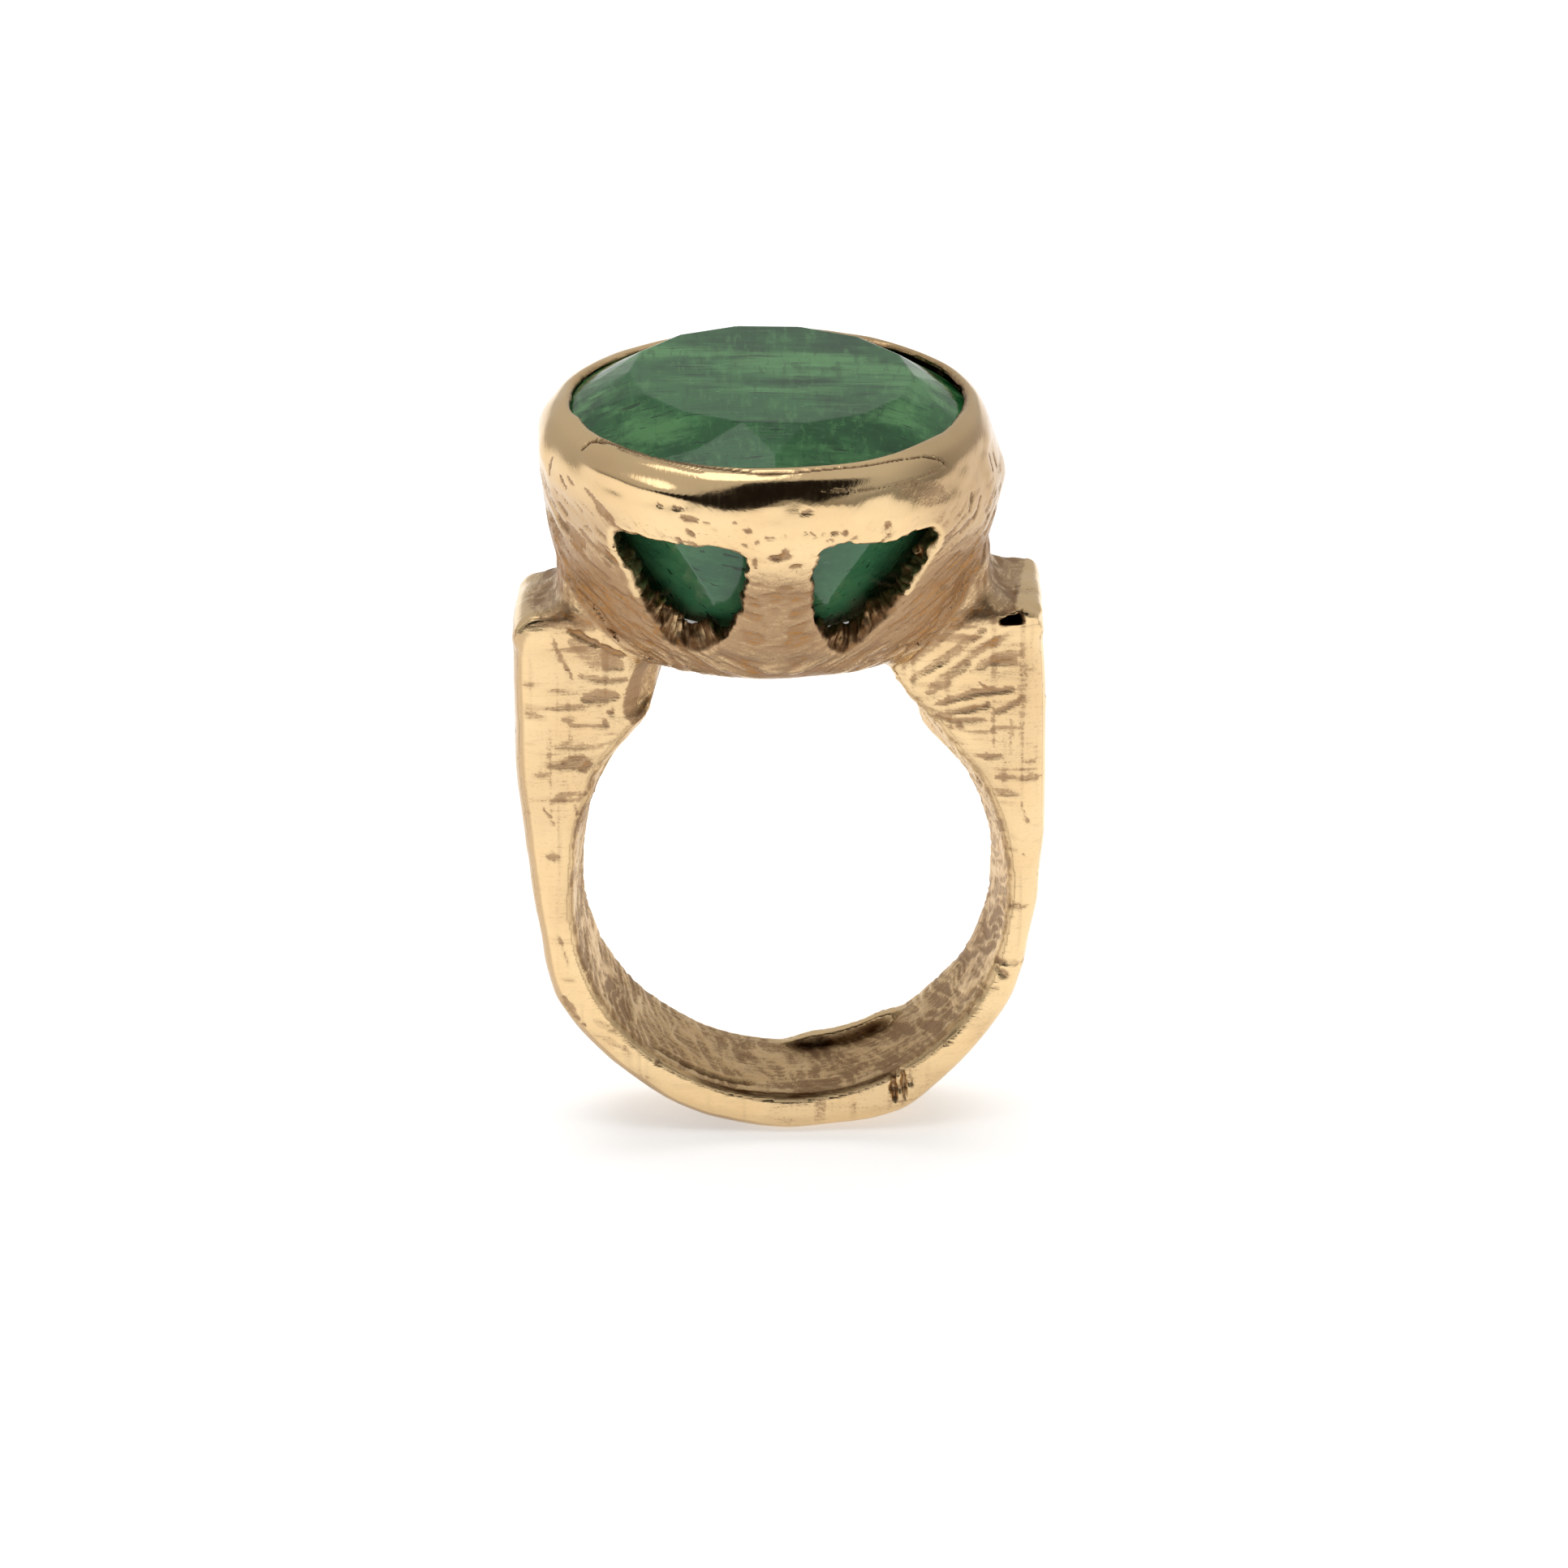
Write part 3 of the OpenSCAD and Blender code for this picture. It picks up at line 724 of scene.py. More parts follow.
def cut_marks(u, v, marks, wobble, fray):
    """Depth and brownness of the marks at (u, v)."""
    depth, brown = np.zeros(len(u)), np.zeros(len(u))
    for points, half, deep, dark in marks:
        d, along = line_distance(u, v, points)
        deep = deep * (0.35 + 0.9 * deep)
        width = half * (0.45 + 0.75 * np.sin(math.pi * np.clip(along, 0, 1)) ** 0.5) * (1 + 0.35 * wobble)
        d = np.abs(d + fray)
        shape = fall(d, 0.35 * width, 1.35 * width)
        lip = np.exp(-((d - 1.5 * width) / (0.5 * width)) ** 2)
        depth = np.maximum(depth, deep * shape) - 0.12 * deep * lip
        brown = np.maximum(brown, dark * fall(d, 0.6 * width, 1.25 * width))
    return depth, brown


class Surface:
    """The gold's surface points, the zones they lie in, what the tools leave on them, and the painted shade
    and highlights.
    """

    def __init__(self, p, n):
        x, y, z = p.T
        self.p, self.n = p, n
        self.x, self.y, self.z = x, y, z
        self.r = np.hypot(x, z)
        self.turn = np.arctan2(x, -z)
        self.w, self.half_axis = head_offset(x, y, np.clip(z, CUP_Z, LIP_Z))
        # Round the head: the angle from its front, and its size to either side.
        self.theta = np.arctan2(x - HEAD_X, -y)
        self.swing = np.abs(self.theta)
        self.right_side = ramp(x - HEAD_X, -3, 3)
        self.back_seam = ramp(math.pi - self.swing, 0.06, 0.3)

        self.on_head = ramp(z, 11, 11.5) * ramp(self.w, -0.5, -0.3) * fall(self.w, 0.1, 0.35)
        self.off_head = 1 - self.on_head
        on_shank = self.off_head * (z < 13.6)
        self.front = ramp(-n[:, 1], 0.35, 0.75) * (y < -FACE_Y) * on_shank
        self.back = ramp(n[:, 1], 0.35, 0.75) * (y > FACE_Y) * on_shank
        away = -(n[:, 0] * x + n[:, 2] * z) / np.maximum(self.r, 1e-6)
        self.bore = ramp(away, 0.35, 0.7) * (self.r < 11.2) * self.off_head * (np.abs(y) < 2.45)
        self.flank = fall(np.abs(n[:, 1]), 0.4, 0.8) * self.off_head * (1 - self.bore)
        in_wall = fall(self.w, -0.22, -0.06) * ramp(self.w, -1.6, -1.35)
        self.cut_face = ramp(z, 12, 12.6) * in_wall * (z < 19.2)

        self.head_front = np.nonzero((self.on_head > 0.1) & (y < 2.5) & (z > 15.5))[0]
        window = np.full(len(p), 9.0)
        window[self.head_front] = np.minimum(*window_distances(x[self.head_front], z[self.head_front]))
        # Along the windows' rims brown and painted shade are left off, a painted highlight; some cup marks
        # stay off them too.
        self.rim = fall(window, 0.12, 0.32) * ramp(np.abs(x + 0.5), 1.6, 2.6)
        self.wobble = noise(p, 2.4, 57)
        self.fray = 0.07 * noise(p, 3.7, 58) + 0.04 * noise(p, 7.5, 59)

        self.move, self.recess, self.shade, self.dark, self.ledge_highlight = np.zeros((5, len(p)))

    # dark: painted shadow in hollows, crevices, cracks and inside the cup, and on the saw cuts dark scale
    # with painted shade
    def darken(self, amount):
        self.dark = np.maximum(self.dark, amount)

    # shade: painted shade
    def paint_shade(self, amount):
        self.shade = np.maximum(self.shade, amount)


def mark_skin(g):
    """Slow unevenness of all the gold, calmer on the smooth collar."""
    collar = ramp(g.z, 18.6, 19.6) * (g.w > -1.2)
    g.move += 0.06 * fractal(g.p, 0.33, 11, 2) + 0.02 * noise(g.p, 1.1, 17) * (1 - collar)
    g.move += 0.035 * collar * noise(g.p, (0.28, 0.28, 0.6), 18)


def mark_shoulders(g):
    """Solder at the shoulders runs down from the cup in brown streaks."""
    x, y, z, w = g.x, g.y, g.z, g.w
    aside = np.abs(x - HEAD_X)
    g.down = np.stack([aside * 0.75 + z * 0.65, y + 0.5 * aside, z * 0.75 - aside * 0.65], 1)
    sweep = two_noises(g.down, (0.35, 1.5, 1.9), 0.55, (0.8, 3.4, 4.2), 19)
    strip_top = ramp(x - 0.15 * (y + 2), 9.2, 9.42)
    g.solder = fall(w, 1.3, 2.6) * ramp(w, 0.02, 0.2) * ramp(z, 12.6, 13.3) * (1 - strip_top)
    shoulder = g.off_head * ramp(z, 12.3, 12.9) * ramp(g.n[:, 2], 0.2, 0.6)
    shoulder = np.maximum(shoulder * (1 - 0.75 * strip_top) * (1 - 0.9 * ramp(-x, 9.9, 10.7)), g.solder)
    near_solder = g.on_head * ramp(g.swing, 0.85, 1.15) * ramp(z, 12.4, 13.2) * fall(z, 15.3, 16.6)
    g.move += 0.07 * strip_top * ramp(z, 12.9, 13.1)
    g.move -= 0.05 * np.maximum(shoulder, near_solder) * ramp(sweep, -0.2, 0.8) * (0.4 + 0.6 * g.solder)
    streaked = np.maximum(shoulder, (0.85 + 0.3 * g.right_side) * near_solder)
    g.recess += streaked * (0.6 + 0.45 * ramp(sweep, -0.1, 0.6))


def mark_cup(g):
    """Graver strokes that run down towards the post on either side, wrinkles on the post, and pits."""
    z, theta, on_head = g.z, g.theta, g.on_head
    arc = theta * 8.6
    lean = math.radians(34) * np.clip(theta / math.radians(42), -1, 1)
    height = z - 16
    along = arc * np.cos(lean) + height * np.sin(lean)
    across = -arc * np.sin(lean) + height * np.cos(lean)
    flow = np.stack([1.4 * along, across, g.w], 1)
    g.head_flow = flow

    stroke = two_noises(flow, (0.5, 2.5, 0.8), 0.55, (0.9, 4.6, 1), 21)
    sides = 0.25 + 0.75 * ramp(-theta, 0.45, 0.9) + 0.35 * ramp(theta, 0.55, 1)
    gouge = g.back_seam * ramp(stroke, 0.12, 0.75) * fall(z, 17.6, 19.7) * sides
    gouge = gouge * on_head * ramp(g.swing, 0.2, 0.42)
    wrinkle = two_noises(flow, (0.7, 3, 1), 0.5, (1.5, 6, 1), 25)
    wrinkle_zone = on_head * fall(np.abs(theta - 0.02), 0.16, 0.3) * fall(z, 16.2, 17.6)
    bowl = on_head * fall(z, 12.2, 13.4)
    g.move -= 0.09 * gouge + 0.045 * ramp(wrinkle, -0.1, 0.9) * wrinkle_zone
    g.move -= 0.06 * ramp(stroke, 0, 0.8) * bowl
    # Less brown on the windows' rims, part of their painted highlight.
    g.recess += 0.22 * gouge * (1 - 0.6 * g.rim) + 0.5 * ramp(wrinkle, 0.1, 0.8) * wrinkle_zone
    g.recess += 0.7 * ramp(stroke, 0.1, 0.8) * bowl

    short = ramp(two_noises(flow, (1, 4.6, 1), 0.4, (2.2, 8, 1), 23), 0.28, 0.6)
    short = short * fall(z, 18.4, 20.2) * on_head * (0.35 + 0.65 * ramp(g.swing, 0.3, 0.6))
    short = short * (1 - g.rim) * g.back_seam
    g.move -= 0.05 * short
    g.recess += 0.55 * short

    pits = ramp(noise(flow, (1.3, 3.2, 1), 31) + 0.3 * noise(g.p, 6, 32), 0.62, 0.8)
    pits = pits * g.back_seam * on_head * ramp(z, 17.3, 18) * fall(z, 19.5, 20) * fall(g.swing, 0.55, 0.9)
    g.move -= 0.1 * pits
    g.recess += 0.8 * pits


def tone_head(g):
    """The cup is browner than the collar, with painted shade low on the cup and on the head's sides, more on
    the collar's right side; along the windows' rims brown and shade are left off, a painted highlight.
    """
    z, on_head, swing = g.z, g.on_head, g.swing
    cup = fall(z, 16.2, 18.8) * (0.68 + 0.12 * ramp(swing, 0.5, 1))
    cup = cup * (1 - 0.62 * on_head * fall(z, 12.2, 13.4))
    collar = (0.08 + 0.08 * ramp(swing, 0.7, 1)) * ramp(-z, -21.9, -21.2)
    g.recess += on_head * np.maximum(cup, collar) * (1 - 0.85 * g.rim)
    # Painted shade: low on the cup and on the head's sides, more on the collar's right side.
    low = fall(z, 15.5, 18.6) * (0.75 + 0.25 * ramp(swing, 0.5, 1))
    sides = ramp(swing, 0.55, 0.95) * (1 - ramp(z, 18.5, 20.5) * (0.7 - 0.65 * g.right_side))
    g.paint_shade(on_head * np.maximum(low, sides) * (1 - 0.5 * ramp(z, 21.4, 21.9)) * (1 - 0.7 * g.rim))


def mark_collar(g):
    """The collar's lumps, its bulge on the left, and the marks placed one by one on collar and cup."""
    z, theta = g.z, g.theta
    lumps = g.on_head * ramp(z, 16.8, 17.8) * fall(z, 20.6, 21.4)
    g.move += 0.07 * lumps * fractal(g.p, (0.55, 0.55, 0.8), 27, 2)
    up_wall = np.where(z > 20.6, z + 0.8 * (9.5 - g.w - g.half_axis), z + 0.11)
    bulge = np.exp(-((up_wall - 21.35 + 0.012 * np.degrees(theta + 0.7)) / 0.42) ** 2)
    g.move += 0.22 * bulge * g.on_head * ramp(theta, -1.1, -0.9) * fall(theta, -0.6, -0.3)

    i = g.head_front
    steady = ramp(z[i], 20, 20.8)
    marks = [([(a * DEGREE_MM, b) for a, b in line], *rest) for line, *rest in HEAD_MARKS]
    deep, brown = cut_marks(np.degrees(theta[i]) * DEGREE_MM, up_wall[i], marks,
                            (0.6 - 0.45 * steady) * g.wobble[i], (0.5 - 0.42 * steady) * g.fray[i])
    g.move[i] -= deep
    g.recess[i] += brown
    g.dark[i] = 0.8 * ramp(brown, 0.92, 1)


def mark_windows(g):
    """Saw-cut window sides are dark, partly scale and partly painted shade, lighter on the saw ridges as
    painted glints; the inside of the cup gets painted shadow.
    """
    x, z, w = g.x, g.z, g.w
    middle = np.where(x < -0.6, -4.3, 2.7)
    round_cut = np.arctan2(z - 16.4, x - middle) * 3
    g.cut_way = np.stack([w, round_cut, np.zeros(len(w))], 1)
    saw = two_noises(g.cut_way, (0.9, 2.6, 1), 0.7, (1.6, 6, 1), 41)
    g.move -= g.cut_face * 0.12 * saw
    # Painted shade on the saw cuts, with painted glints on the saw ridges.
    g.darken(g.cut_face * (0.95 - 0.55 * ramp(-saw, 0.35, 0.9)))
    # Painted shadow inside the cup.
    g.darken((z > CUP_Z) * (w < -1))


def mark_lip(g):
    """The lip stands off the stone in a crevice on either side; the crevice and the lip's inner edge get
    painted shadow.
    """
    x, y, z, w = g.x, g.y, g.z, g.w
    inward = -(g.n[:, 0] * (x - HEAD_X) + g.n[:, 1] * y) / np.hypot(x - HEAD_X, y)
    right = ramp(x, 2.5, 4.5) * ramp(y, -2, 0.5)
    left = ramp(-x, 6, 7.5) * ramp(y, -1.8, -0.6) * fall(y, 3, 4.5)
    crevice = np.clip(right + left, 0, 1) * ramp(inward, -0.3, 0.3) * (z > 21) * (w > -1.6)
    crevice = crevice * (0.7 + 0.3 * ramp(noise(g.p, 1.6, 46), -0.5, 0.5))
    g.move -= 0.24 * crevice
    # Painted shadow in the crevice.
    g.darken(1.3 * crevice)
    # Painted shadow on the lip's inner edge.
    g.darken((z > 21.2) * (z < 21.9) * ramp(-w, 0.1, 0.3))


def mark_faces(g):
    """Front and back: hammered flat, scratched both ways, then the marks placed one by one."""
    x, y, z, p, n = g.x, g.y, g.z, g.p, g.n
    face = g.front + g.back
    near_dent, _ = dents(p, (0.55, 0.4, 0.45), 51)
    g.move -= face * 0.06 * (0.6 - near_dent)
    long_lines = ramp(two_noises(p, (2.6, 0.4, 0.16), 0.6, (5.5, 0.4, 0.3), 52), 0.45, 1)
    cross_lines = ramp(two_noises(p, (0.45, 0.4, 2.6), 0.6, (0.9, 0.4, 5.2), 54), 0.5, 1)
    lines = 0.6 * long_lines + cross_lines * (0.25 + 0.75 * ramp(z, 1, 6))
    lines = lines * ramp(np.abs(n[:, 1]), 0.8, 0.95)
    g.move -= face * 0.03 * lines
    g.recess += face * 0.5 * lines + face * 0.24 * ramp(noise(p, 0.45, 56), -0.1, 0.7)

    i = np.nonzero((y < -FACE_Y) & (n[:, 1] < -0.2) & (g.w > -0.2))[0]
    deep, brown = cut_marks(x[i], z[i], LEFT_MARKS + RIGHT_MARKS, g.wobble[i], g.fray[i])
    forward = ramp(-n[i, 1], 0.2, 0.6)
    g.move[i] -= deep * forward
    g.recess[i] += 0.8 * brown * forward


def mark_edges(g):
    """Brown on the left chamfer, painted shade along the left outer edge and over the upper front faces, and
    flutes on the right shoulder.
    """
    x, y, z = g.x, g.y, g.z
    g.recess += 0.6 * fall(outline_distance(LEFT_CHAMFER, x, z), -0.12, 0) * (y < 0.5) * g.off_head * (x < -5)
    # Painted shade along the left outer edge.
    edge = ramp(-x, 0, 3) * ramp(outer_distance(x, z), -0.42, -0.3)
    edge = edge * (y < 0) * g.off_head * (1 - g.bore) * (z < 12.8)
    g.recess += 0.08 * edge
    g.paint_shade(0.9 * edge)
    # Painted shade over the upper front faces.
    g.paint_shade(0.14 * g.front * ramp(z, -4, 2))
    # The flutes spread from the right ramp over the shoulder.
    spread = np.arctan2(z - 8.4, x - 3.2)
    flutes = noise(np.stack([spread * 6, (g.r - 10) * 0.25, y * 0.3], 1), (2.2, 1, 1), 61)
    flute_zone = g.front * ramp(x, 4, 5.2) * fall(x, 8.6, 9.8) * ramp(z - 0.45 * x, 4.6, 5.8)
    g.move -= 0.08 * flute_zone * ramp(flutes, -0.2, 0.8)
    g.recess += 0.6 * flute_zone * ramp(flutes, 0.1, 0.8)


def mark_bore(g):
    """Inside of the band: chisel ridges across it, blotchy between them."""
    y, p = g.y, g.p
    slant = g.turn * FINGER_R + 0.45 * y + 0.5 * noise(p, 0.8, 70)
    g.in_bore = np.stack([slant, y, g.r], 1)
    near_cell, next_cell = dents(g.in_bore * (1, 1, 0.2), (1.8, 0.38, 1), 71)
    ridge = fall(next_cell - near_cell + 0.12 * noise(p, 4.2, 74), 0, 0.32)
    blotch = ramp(noise(g.in_bore, (0.6, 0.35, 0.3), 72) + 0.4 * noise(p, 2.5, 73), -0.4, 0.4)
    struck = g.bore * ramp(y, -2.42, -2.2) * fall(y, 2.1, 2.4)
    g.move += struck * 0.05 * ridge
    g.recess += struck * (1 - 0.6 * ramp(g.z, 4.5, 7)) * (0.55 + 0.25 * blotch - 0.32 * ridge)


def mark_bottom(g):
    """Low in the hole: painted shadow in a line under the front edge, in the hollow under the torn ledge and
    in a cracked joint, and a painted highlight on the ledge's edge.
    """
    y = g.y
    turn = g.turn * FINGER_R
    low = (g.z < -7) * (g.r < 9.6) * g.off_head
    front_line = low * np.exp(-((y + 2.3 + 0.03 * noise(g.p, 1.2, 75)) / 0.1) ** 4)
    # Painted shadow in a line under the front edge.
    g.darken(1.2 * front_line * ramp(turn, -4.6, -3) * fall(turn, 3.9, 4.4))

    under_ledge = low * ramp(turn, -0.7, 0.8) * fall(turn, 3.8, 5.5) * fall(y, 1.74, 1.84)
    deepest = 0.5 * ramp(y, -0.3, 1.2) * fall(np.abs(turn - 0.9), 0.5, 1.4)
    # Painted shadow in the hollow under the ledge.
    g.darken(under_ledge * (np.exp(-np.maximum(LEDGE_Y - y, 0) / 0.4) + deepest))

    joint = g.bore * np.exp(-((y + LEDGE_Y) / 0.09) ** 2)
    crack = joint * ramp(turn, -6.2, -5.6) * fall(turn, -1.9, -1.3)
    g.move -= 0.02 * joint + 0.2 * crack
    g.recess += 0.15 * joint
    # Painted shadow in the crack.
    g.darken(crack)

    # Painted highlight: the torn ledge's edge loses its brown.
    g.ledge_highlight = low * ramp(turn, -0.9, 0.3) * fall(turn, 5.2, 5.8) * ramp(y, 1.76, 1.86)
    g.recess = g.recess * (1 - 0.8 * g.ledge_highlight)


def mark_flanks(g):
    """Long filing strokes on the flanks, and nicks there and on the back."""
    lengthwise = np.stack([g.turn * 10.5, g.y, g.r], 1)
    file_lines = noise(lengthwise, (0.25, 2.4, 0.3), 81)
    g.move -= g.flank * 0.02 * ramp(file_lines, 0.2, 0.9)
    g.recess += g.flank * 0.25 * ramp(file_lines, 0.4, 0.9)
    nicks = ramp(two_noises(g.p, 1.3, 0.5, 3.4, 83), 0.75, 0.95) * np.clip(g.flank + g.back, 0, 1)
    nicks = nicks * (g.z < 12.5)
    g.move -= 0.05 * nicks
    g.recess += 0.5 * nicks


def darken_pocket(g):
    """The open wedge at the right shoulder gets painted shadow, with a ragged rim."""
    in_pocket = pocket_ratio(g.x, g.y, g.z) + 0.15 * noise(g.p, 2.6, 45)
    # Painted shadow in the wedge.
    g.darken(2 * fall(in_pocket, 1.05, 1.4))


def stroke_ways(g):
    """Coordinates for the look's fine strokes, the first of them along the strokes at each point."""
    flow = g.p
    for zone, way in ((g.on_head, g.head_flow), (g.front, g.p[:, [0, 2, 1]]), (g.bore, g.in_bore),
                      (g.cut_face, g.cut_way), (g.solder, g.down[:, [0, 2, 1]])):
        flow = np.where(zone[:, None] > 0.5, way, flow)
    return flow


def tool_marks(p, n):
    """How far each surface point moves outwards, and the attributes that the gold's look reads."""
    g = Surface(p, n)
    for work in (mark_skin, mark_shoulders, mark_cup, tone_head, mark_collar, mark_windows, mark_lip,
                 darken_pocket, mark_faces, mark_edges, mark_bore, mark_bottom, mark_flanks):
        work(g)
    matte = np.clip(g.bore * 0.8 * (1 - g.ledge_highlight), 0, 1)
    return g.move, {"recess": np.clip(g.recess, 0, 1.2), "shade": np.clip(g.shade, 0, 1),
                    "dark": np.clip(g.dark, 0, 2), "matte": matte, "flow": stroke_ways(g)}


def build_gold(materials):
    """Meshes the gold and returns its pieces by CAD node name."""
    field, label = gold_field()
    points, rim, quads, owner, other = surface_net(field, label)
    points, normals = settle(field, points, rim)
    outer = other == 0
    # Faces of the closed box inside the shank keep their plain surface.
    move, attributes = tool_marks(points, normals)
    box = (np.abs(points[:, 1]) < HALF_W - PLATE_T + 0.15) & hidden_inside(points)
    move[~rim | box] = 0
    points = points + normals * move[:, None]
    smooth, flat = corner_normals(points, quads, outer)
    pieces = {}
    for name, number in LABEL.items():
        mine = owner == number
        if not mine.any():
            print("NO FACES", name)
            continue
        loops = np.where(outer[mine, None, None], smooth[quads[mine]], flat[mine, None, :])
        pieces[name] = build_piece(name, points, quads[mine], loops, attributes, materials[name])
        print(name, len(quads[mine]), "quads")
    return pieces


def hidden_inside(p):
    """True for points on the walls of the closed box inside the shank."""
    x, _, z = p.T
    return (outer_distance(x, z) < -0.75) & (np.hypot(x, z) > FINGER_R + 0.75) & (z < SHOULDER_Z - 0.5)


# ---------------------------------------------------------------- materials

def new_material(name):
    """An empty material: itself, its node tree and its surface shader."""
    m = bpy.data.materials.new(name)
    m.use_nodes = True
    tree = m.node_tree
    tree.nodes.clear()
    out = tree.nodes.new("ShaderNodeOutputMaterial")
    shader = tree.nodes.new("ShaderNodeBsdfPrincipled")
    tree.links.new(shader.outputs[0], out.inputs[0])
    return m, tree, shader


def node(tree, kind, **values):
    """A new node with its settings, or its inputs where it has no such setting."""
    made = tree.nodes.new(kind)
    for key, value in values.items():
        if hasattr(made, key):
            setattr(made, key, value)
        else:
            made.inputs[key].default_value = value
    return made


def link(tree, a, b):
    tree.links.new(a, b)


def attribute(tree, name):
    return node(tree, "ShaderNodeAttribute", attribute_name=name)


def stretched(tree, source, scale):
    """The source vector with each axis scaled: how a texture is drawn out along one way."""
    m = node(tree, "ShaderNodeVectorMath", operation="MULTIPLY")
    link(tree, source, m.inputs[0])
    m.inputs[1].default_value = scale
    return m.outputs[0]


def noise_map(tree, vector, scale, detail, rough):
    t = node(tree, "ShaderNodeTexNoise", Scale=scale, Detail=detail, Roughness=rough)
    link(tree, vector, t.inputs["Vector"])
    return t.outputs[0]


def remap(tree, value, low, high, to_low=0.0, to_high=1.0):
    """Eases from to_low, where the value is low, to to_high, where it is high."""
    m = node(tree, "ShaderNodeMapRange", interpolation_type="SMOOTHSTEP")
    for key, number in (("From Min", low), ("From Max", high), ("To Min", to_low), ("To Max", to_high)):
        m.inputs[key].default_value = number
    link(tree, value, m.inputs["Value"])
    return m.outputs[0]


def math_node(tree, operation, a, b, c=None):
    m = node(tree, "ShaderNodeMath", operation=operation)
    for i, v in enumerate((a, b, c)[:2 if c is None else 3]):
        if isinstance(v, (int, float)):
            m.inputs[i].default_value = v
        else:
            link(tree, v, m.inputs[i])
    return m.outputs[0]


def times(tree, a, b):
    return math_node(tree, "MULTIPLY", a, b)


def plus(tree, a, b):
    return math_node(tree, "ADD", a, b)


def drawn_noise(tree, vector, scale, detail, rough):
    """Noise with its own scale along each axis of the vector."""
    return noise_map(tree, stretched(tree, vector, scale), 1, detail, rough)


def mix_colour(tree, factor, a, b):
    """Colour a where the factor is 0 and b where it is 1."""
    m = node(tree, "ShaderNodeMix", data_type="RGBA")
    for key, v in ((0, factor), (6, a), (7, b)):
        if isinstance(v, (tuple, float, int)):
            m.inputs[key].default_value = v
        else:
            link(tree, v, m.inputs[key])
    return m.outputs[2]


def add_bump(tree, shader, height, strength, distance):
    """Fine relief in the shading, the distance in metres."""
    bump = node(tree, "ShaderNodeBump", Strength=strength, Distance=distance)
    link(tree, height, bump.inputs["Height"])
    link(tree, bump.outputs[0], shader.inputs["Normal"])


def millimetres(tree):
    """The place on the part, in millimetres."""
    return stretched(tree, node(tree, "ShaderNodeTexCoord").outputs["Object"], (1000, 1000, 1000))


GOLD = (0.86, 0.635, 0.355, 1)
GOLD_WARM = (0.8, 0.55, 0.28, 1)
GOLD_BROWN = (0.375, 0.235, 0.13, 1)
# Painted shade colour.
GOLD_SHADE = (0.5, 0.345, 0.195, 1)
GOLD_RUST = (0.42, 0.215, 0.075, 1)
# Painted shadow colours for hollows and crevices, also dark scale on the saw cuts.
GOLD_SHADOW_AND_SCALE = (0.13, 0.06, 0.022, 1)
GOLD_BLACK = (0.02, 0.01, 0.004, 1)


def gold_material(name, polish=0.12, grain=1.0, warmth=0.0):
    """Pale gold: bright where it was burnished, brown and grainy where the tool marks hold scale, with
    painted shade and shadow laid on from the shade and dark attributes.
    """
    m, tree, shader = new_material(name)
    mm = millimetres(tree)
    flow = attribute(tree, "flow").outputs["Vector"]
    recess, shade, dark, matte = (attribute(tree, key).outputs["Fac"]
                                  for key in ("recess", "shade", "dark", "matte"))

    fine = noise_map(tree, mm, 9, 4, 0.65)
    strokes = drawn_noise(tree, flow, (0.9, 6, 1.5), 4, 0.6)
    hair = drawn_noise(tree, mm, (7, 3, 0.8), 3, 0.6)
    broad = noise_map(tree, mm, 0.35, 2, 0.5)

    torn = plus(tree, fine, math_node(tree, "MULTIPLY_ADD", strokes, 1.5, recess))
    hard = times(tree, remap(tree, torn, 1.62, 1.92), remap(tree, recess, 0.03, 0.16))
    brown = plus(tree, times(tree, recess, 0.62), times(tree, hard, 0.36))
    # Thin dark scratches along the strokes.
    crossing = math_node(tree, "ABSOLUTE", math_node(tree, "SUBTRACT", strokes, 0.5), 0)
    scratch = times(tree, remap(tree, crossing, 0.006, 0.022, 1, 0), remap(tree, fine, 0.45, 0.6))
    scratch = times(tree, scratch, remap(tree, recess, 0.1, 0.4, 0.2, 0.6))
    brown = plus(tree, brown, times(tree, scratch, grain))
    brown = plus(tree, brown, times(tree, remap(tree, strokes, 0.55, 0.72), 0.16 * grain))
    brown = math_node(tree, "MINIMUM", brown, 1.0)

    base = mix_colour(tree, remap(tree, broad, 0.35, 0.7, warmth, warmth + 0.5), GOLD, GOLD_WARM)
    # Painted shade from the shade attribute.
    base = mix_colour(tree, times(tree, shade, 0.9), base, GOLD_SHADE)
    rusty = times(tree, remap(tree, strokes, 0.45, 0.6), remap(tree, recess, 0.85, 1.15))
    base = mix_colour(tree, brown, base, mix_colour(tree, rusty, GOLD_BROWN, GOLD_RUST))
    # Painted shadow from the dark attribute, dark scale on the saw cuts, lighter along the strokes.
    shadow_and_scale = times(tree, math_node(tree, "MINIMUM", dark, 1.0), remap(tree, strokes, 0.42, 0.62, 1, 0.55))
    base = mix_colour(tree, shadow_and_scale, base, GOLD_SHADOW_AND_SCALE)
    # Nearly black painted shadow where dark passes 1.
    base = mix_colour(tree, math_node(tree, "SUBTRACT", dark, 1.0), base, GOLD_BLACK)
    link(tree, base, shader.inputs["Base Color"])

    rough = remap(tree, hair, 0.4, 0.7, polish, polish + 0.08)
    for amount, share in ((brown, 0.26), (matte, 0.22), (dark, 0.2)):
        rough = plus(tree, rough, times(tree, amount, share))
    link(tree, rough, shader.inputs["Roughness"])
    shader.inputs["Metallic"].default_value = 1.0

    height = plus(tree, times(tree, fine, recess), times(tree, strokes, 0.55 * grain))
    height = plus(tree, height, times(tree, hair, 0.04))
    add_bump(tree, shader, height, 0.5, 0.00006)
    return m


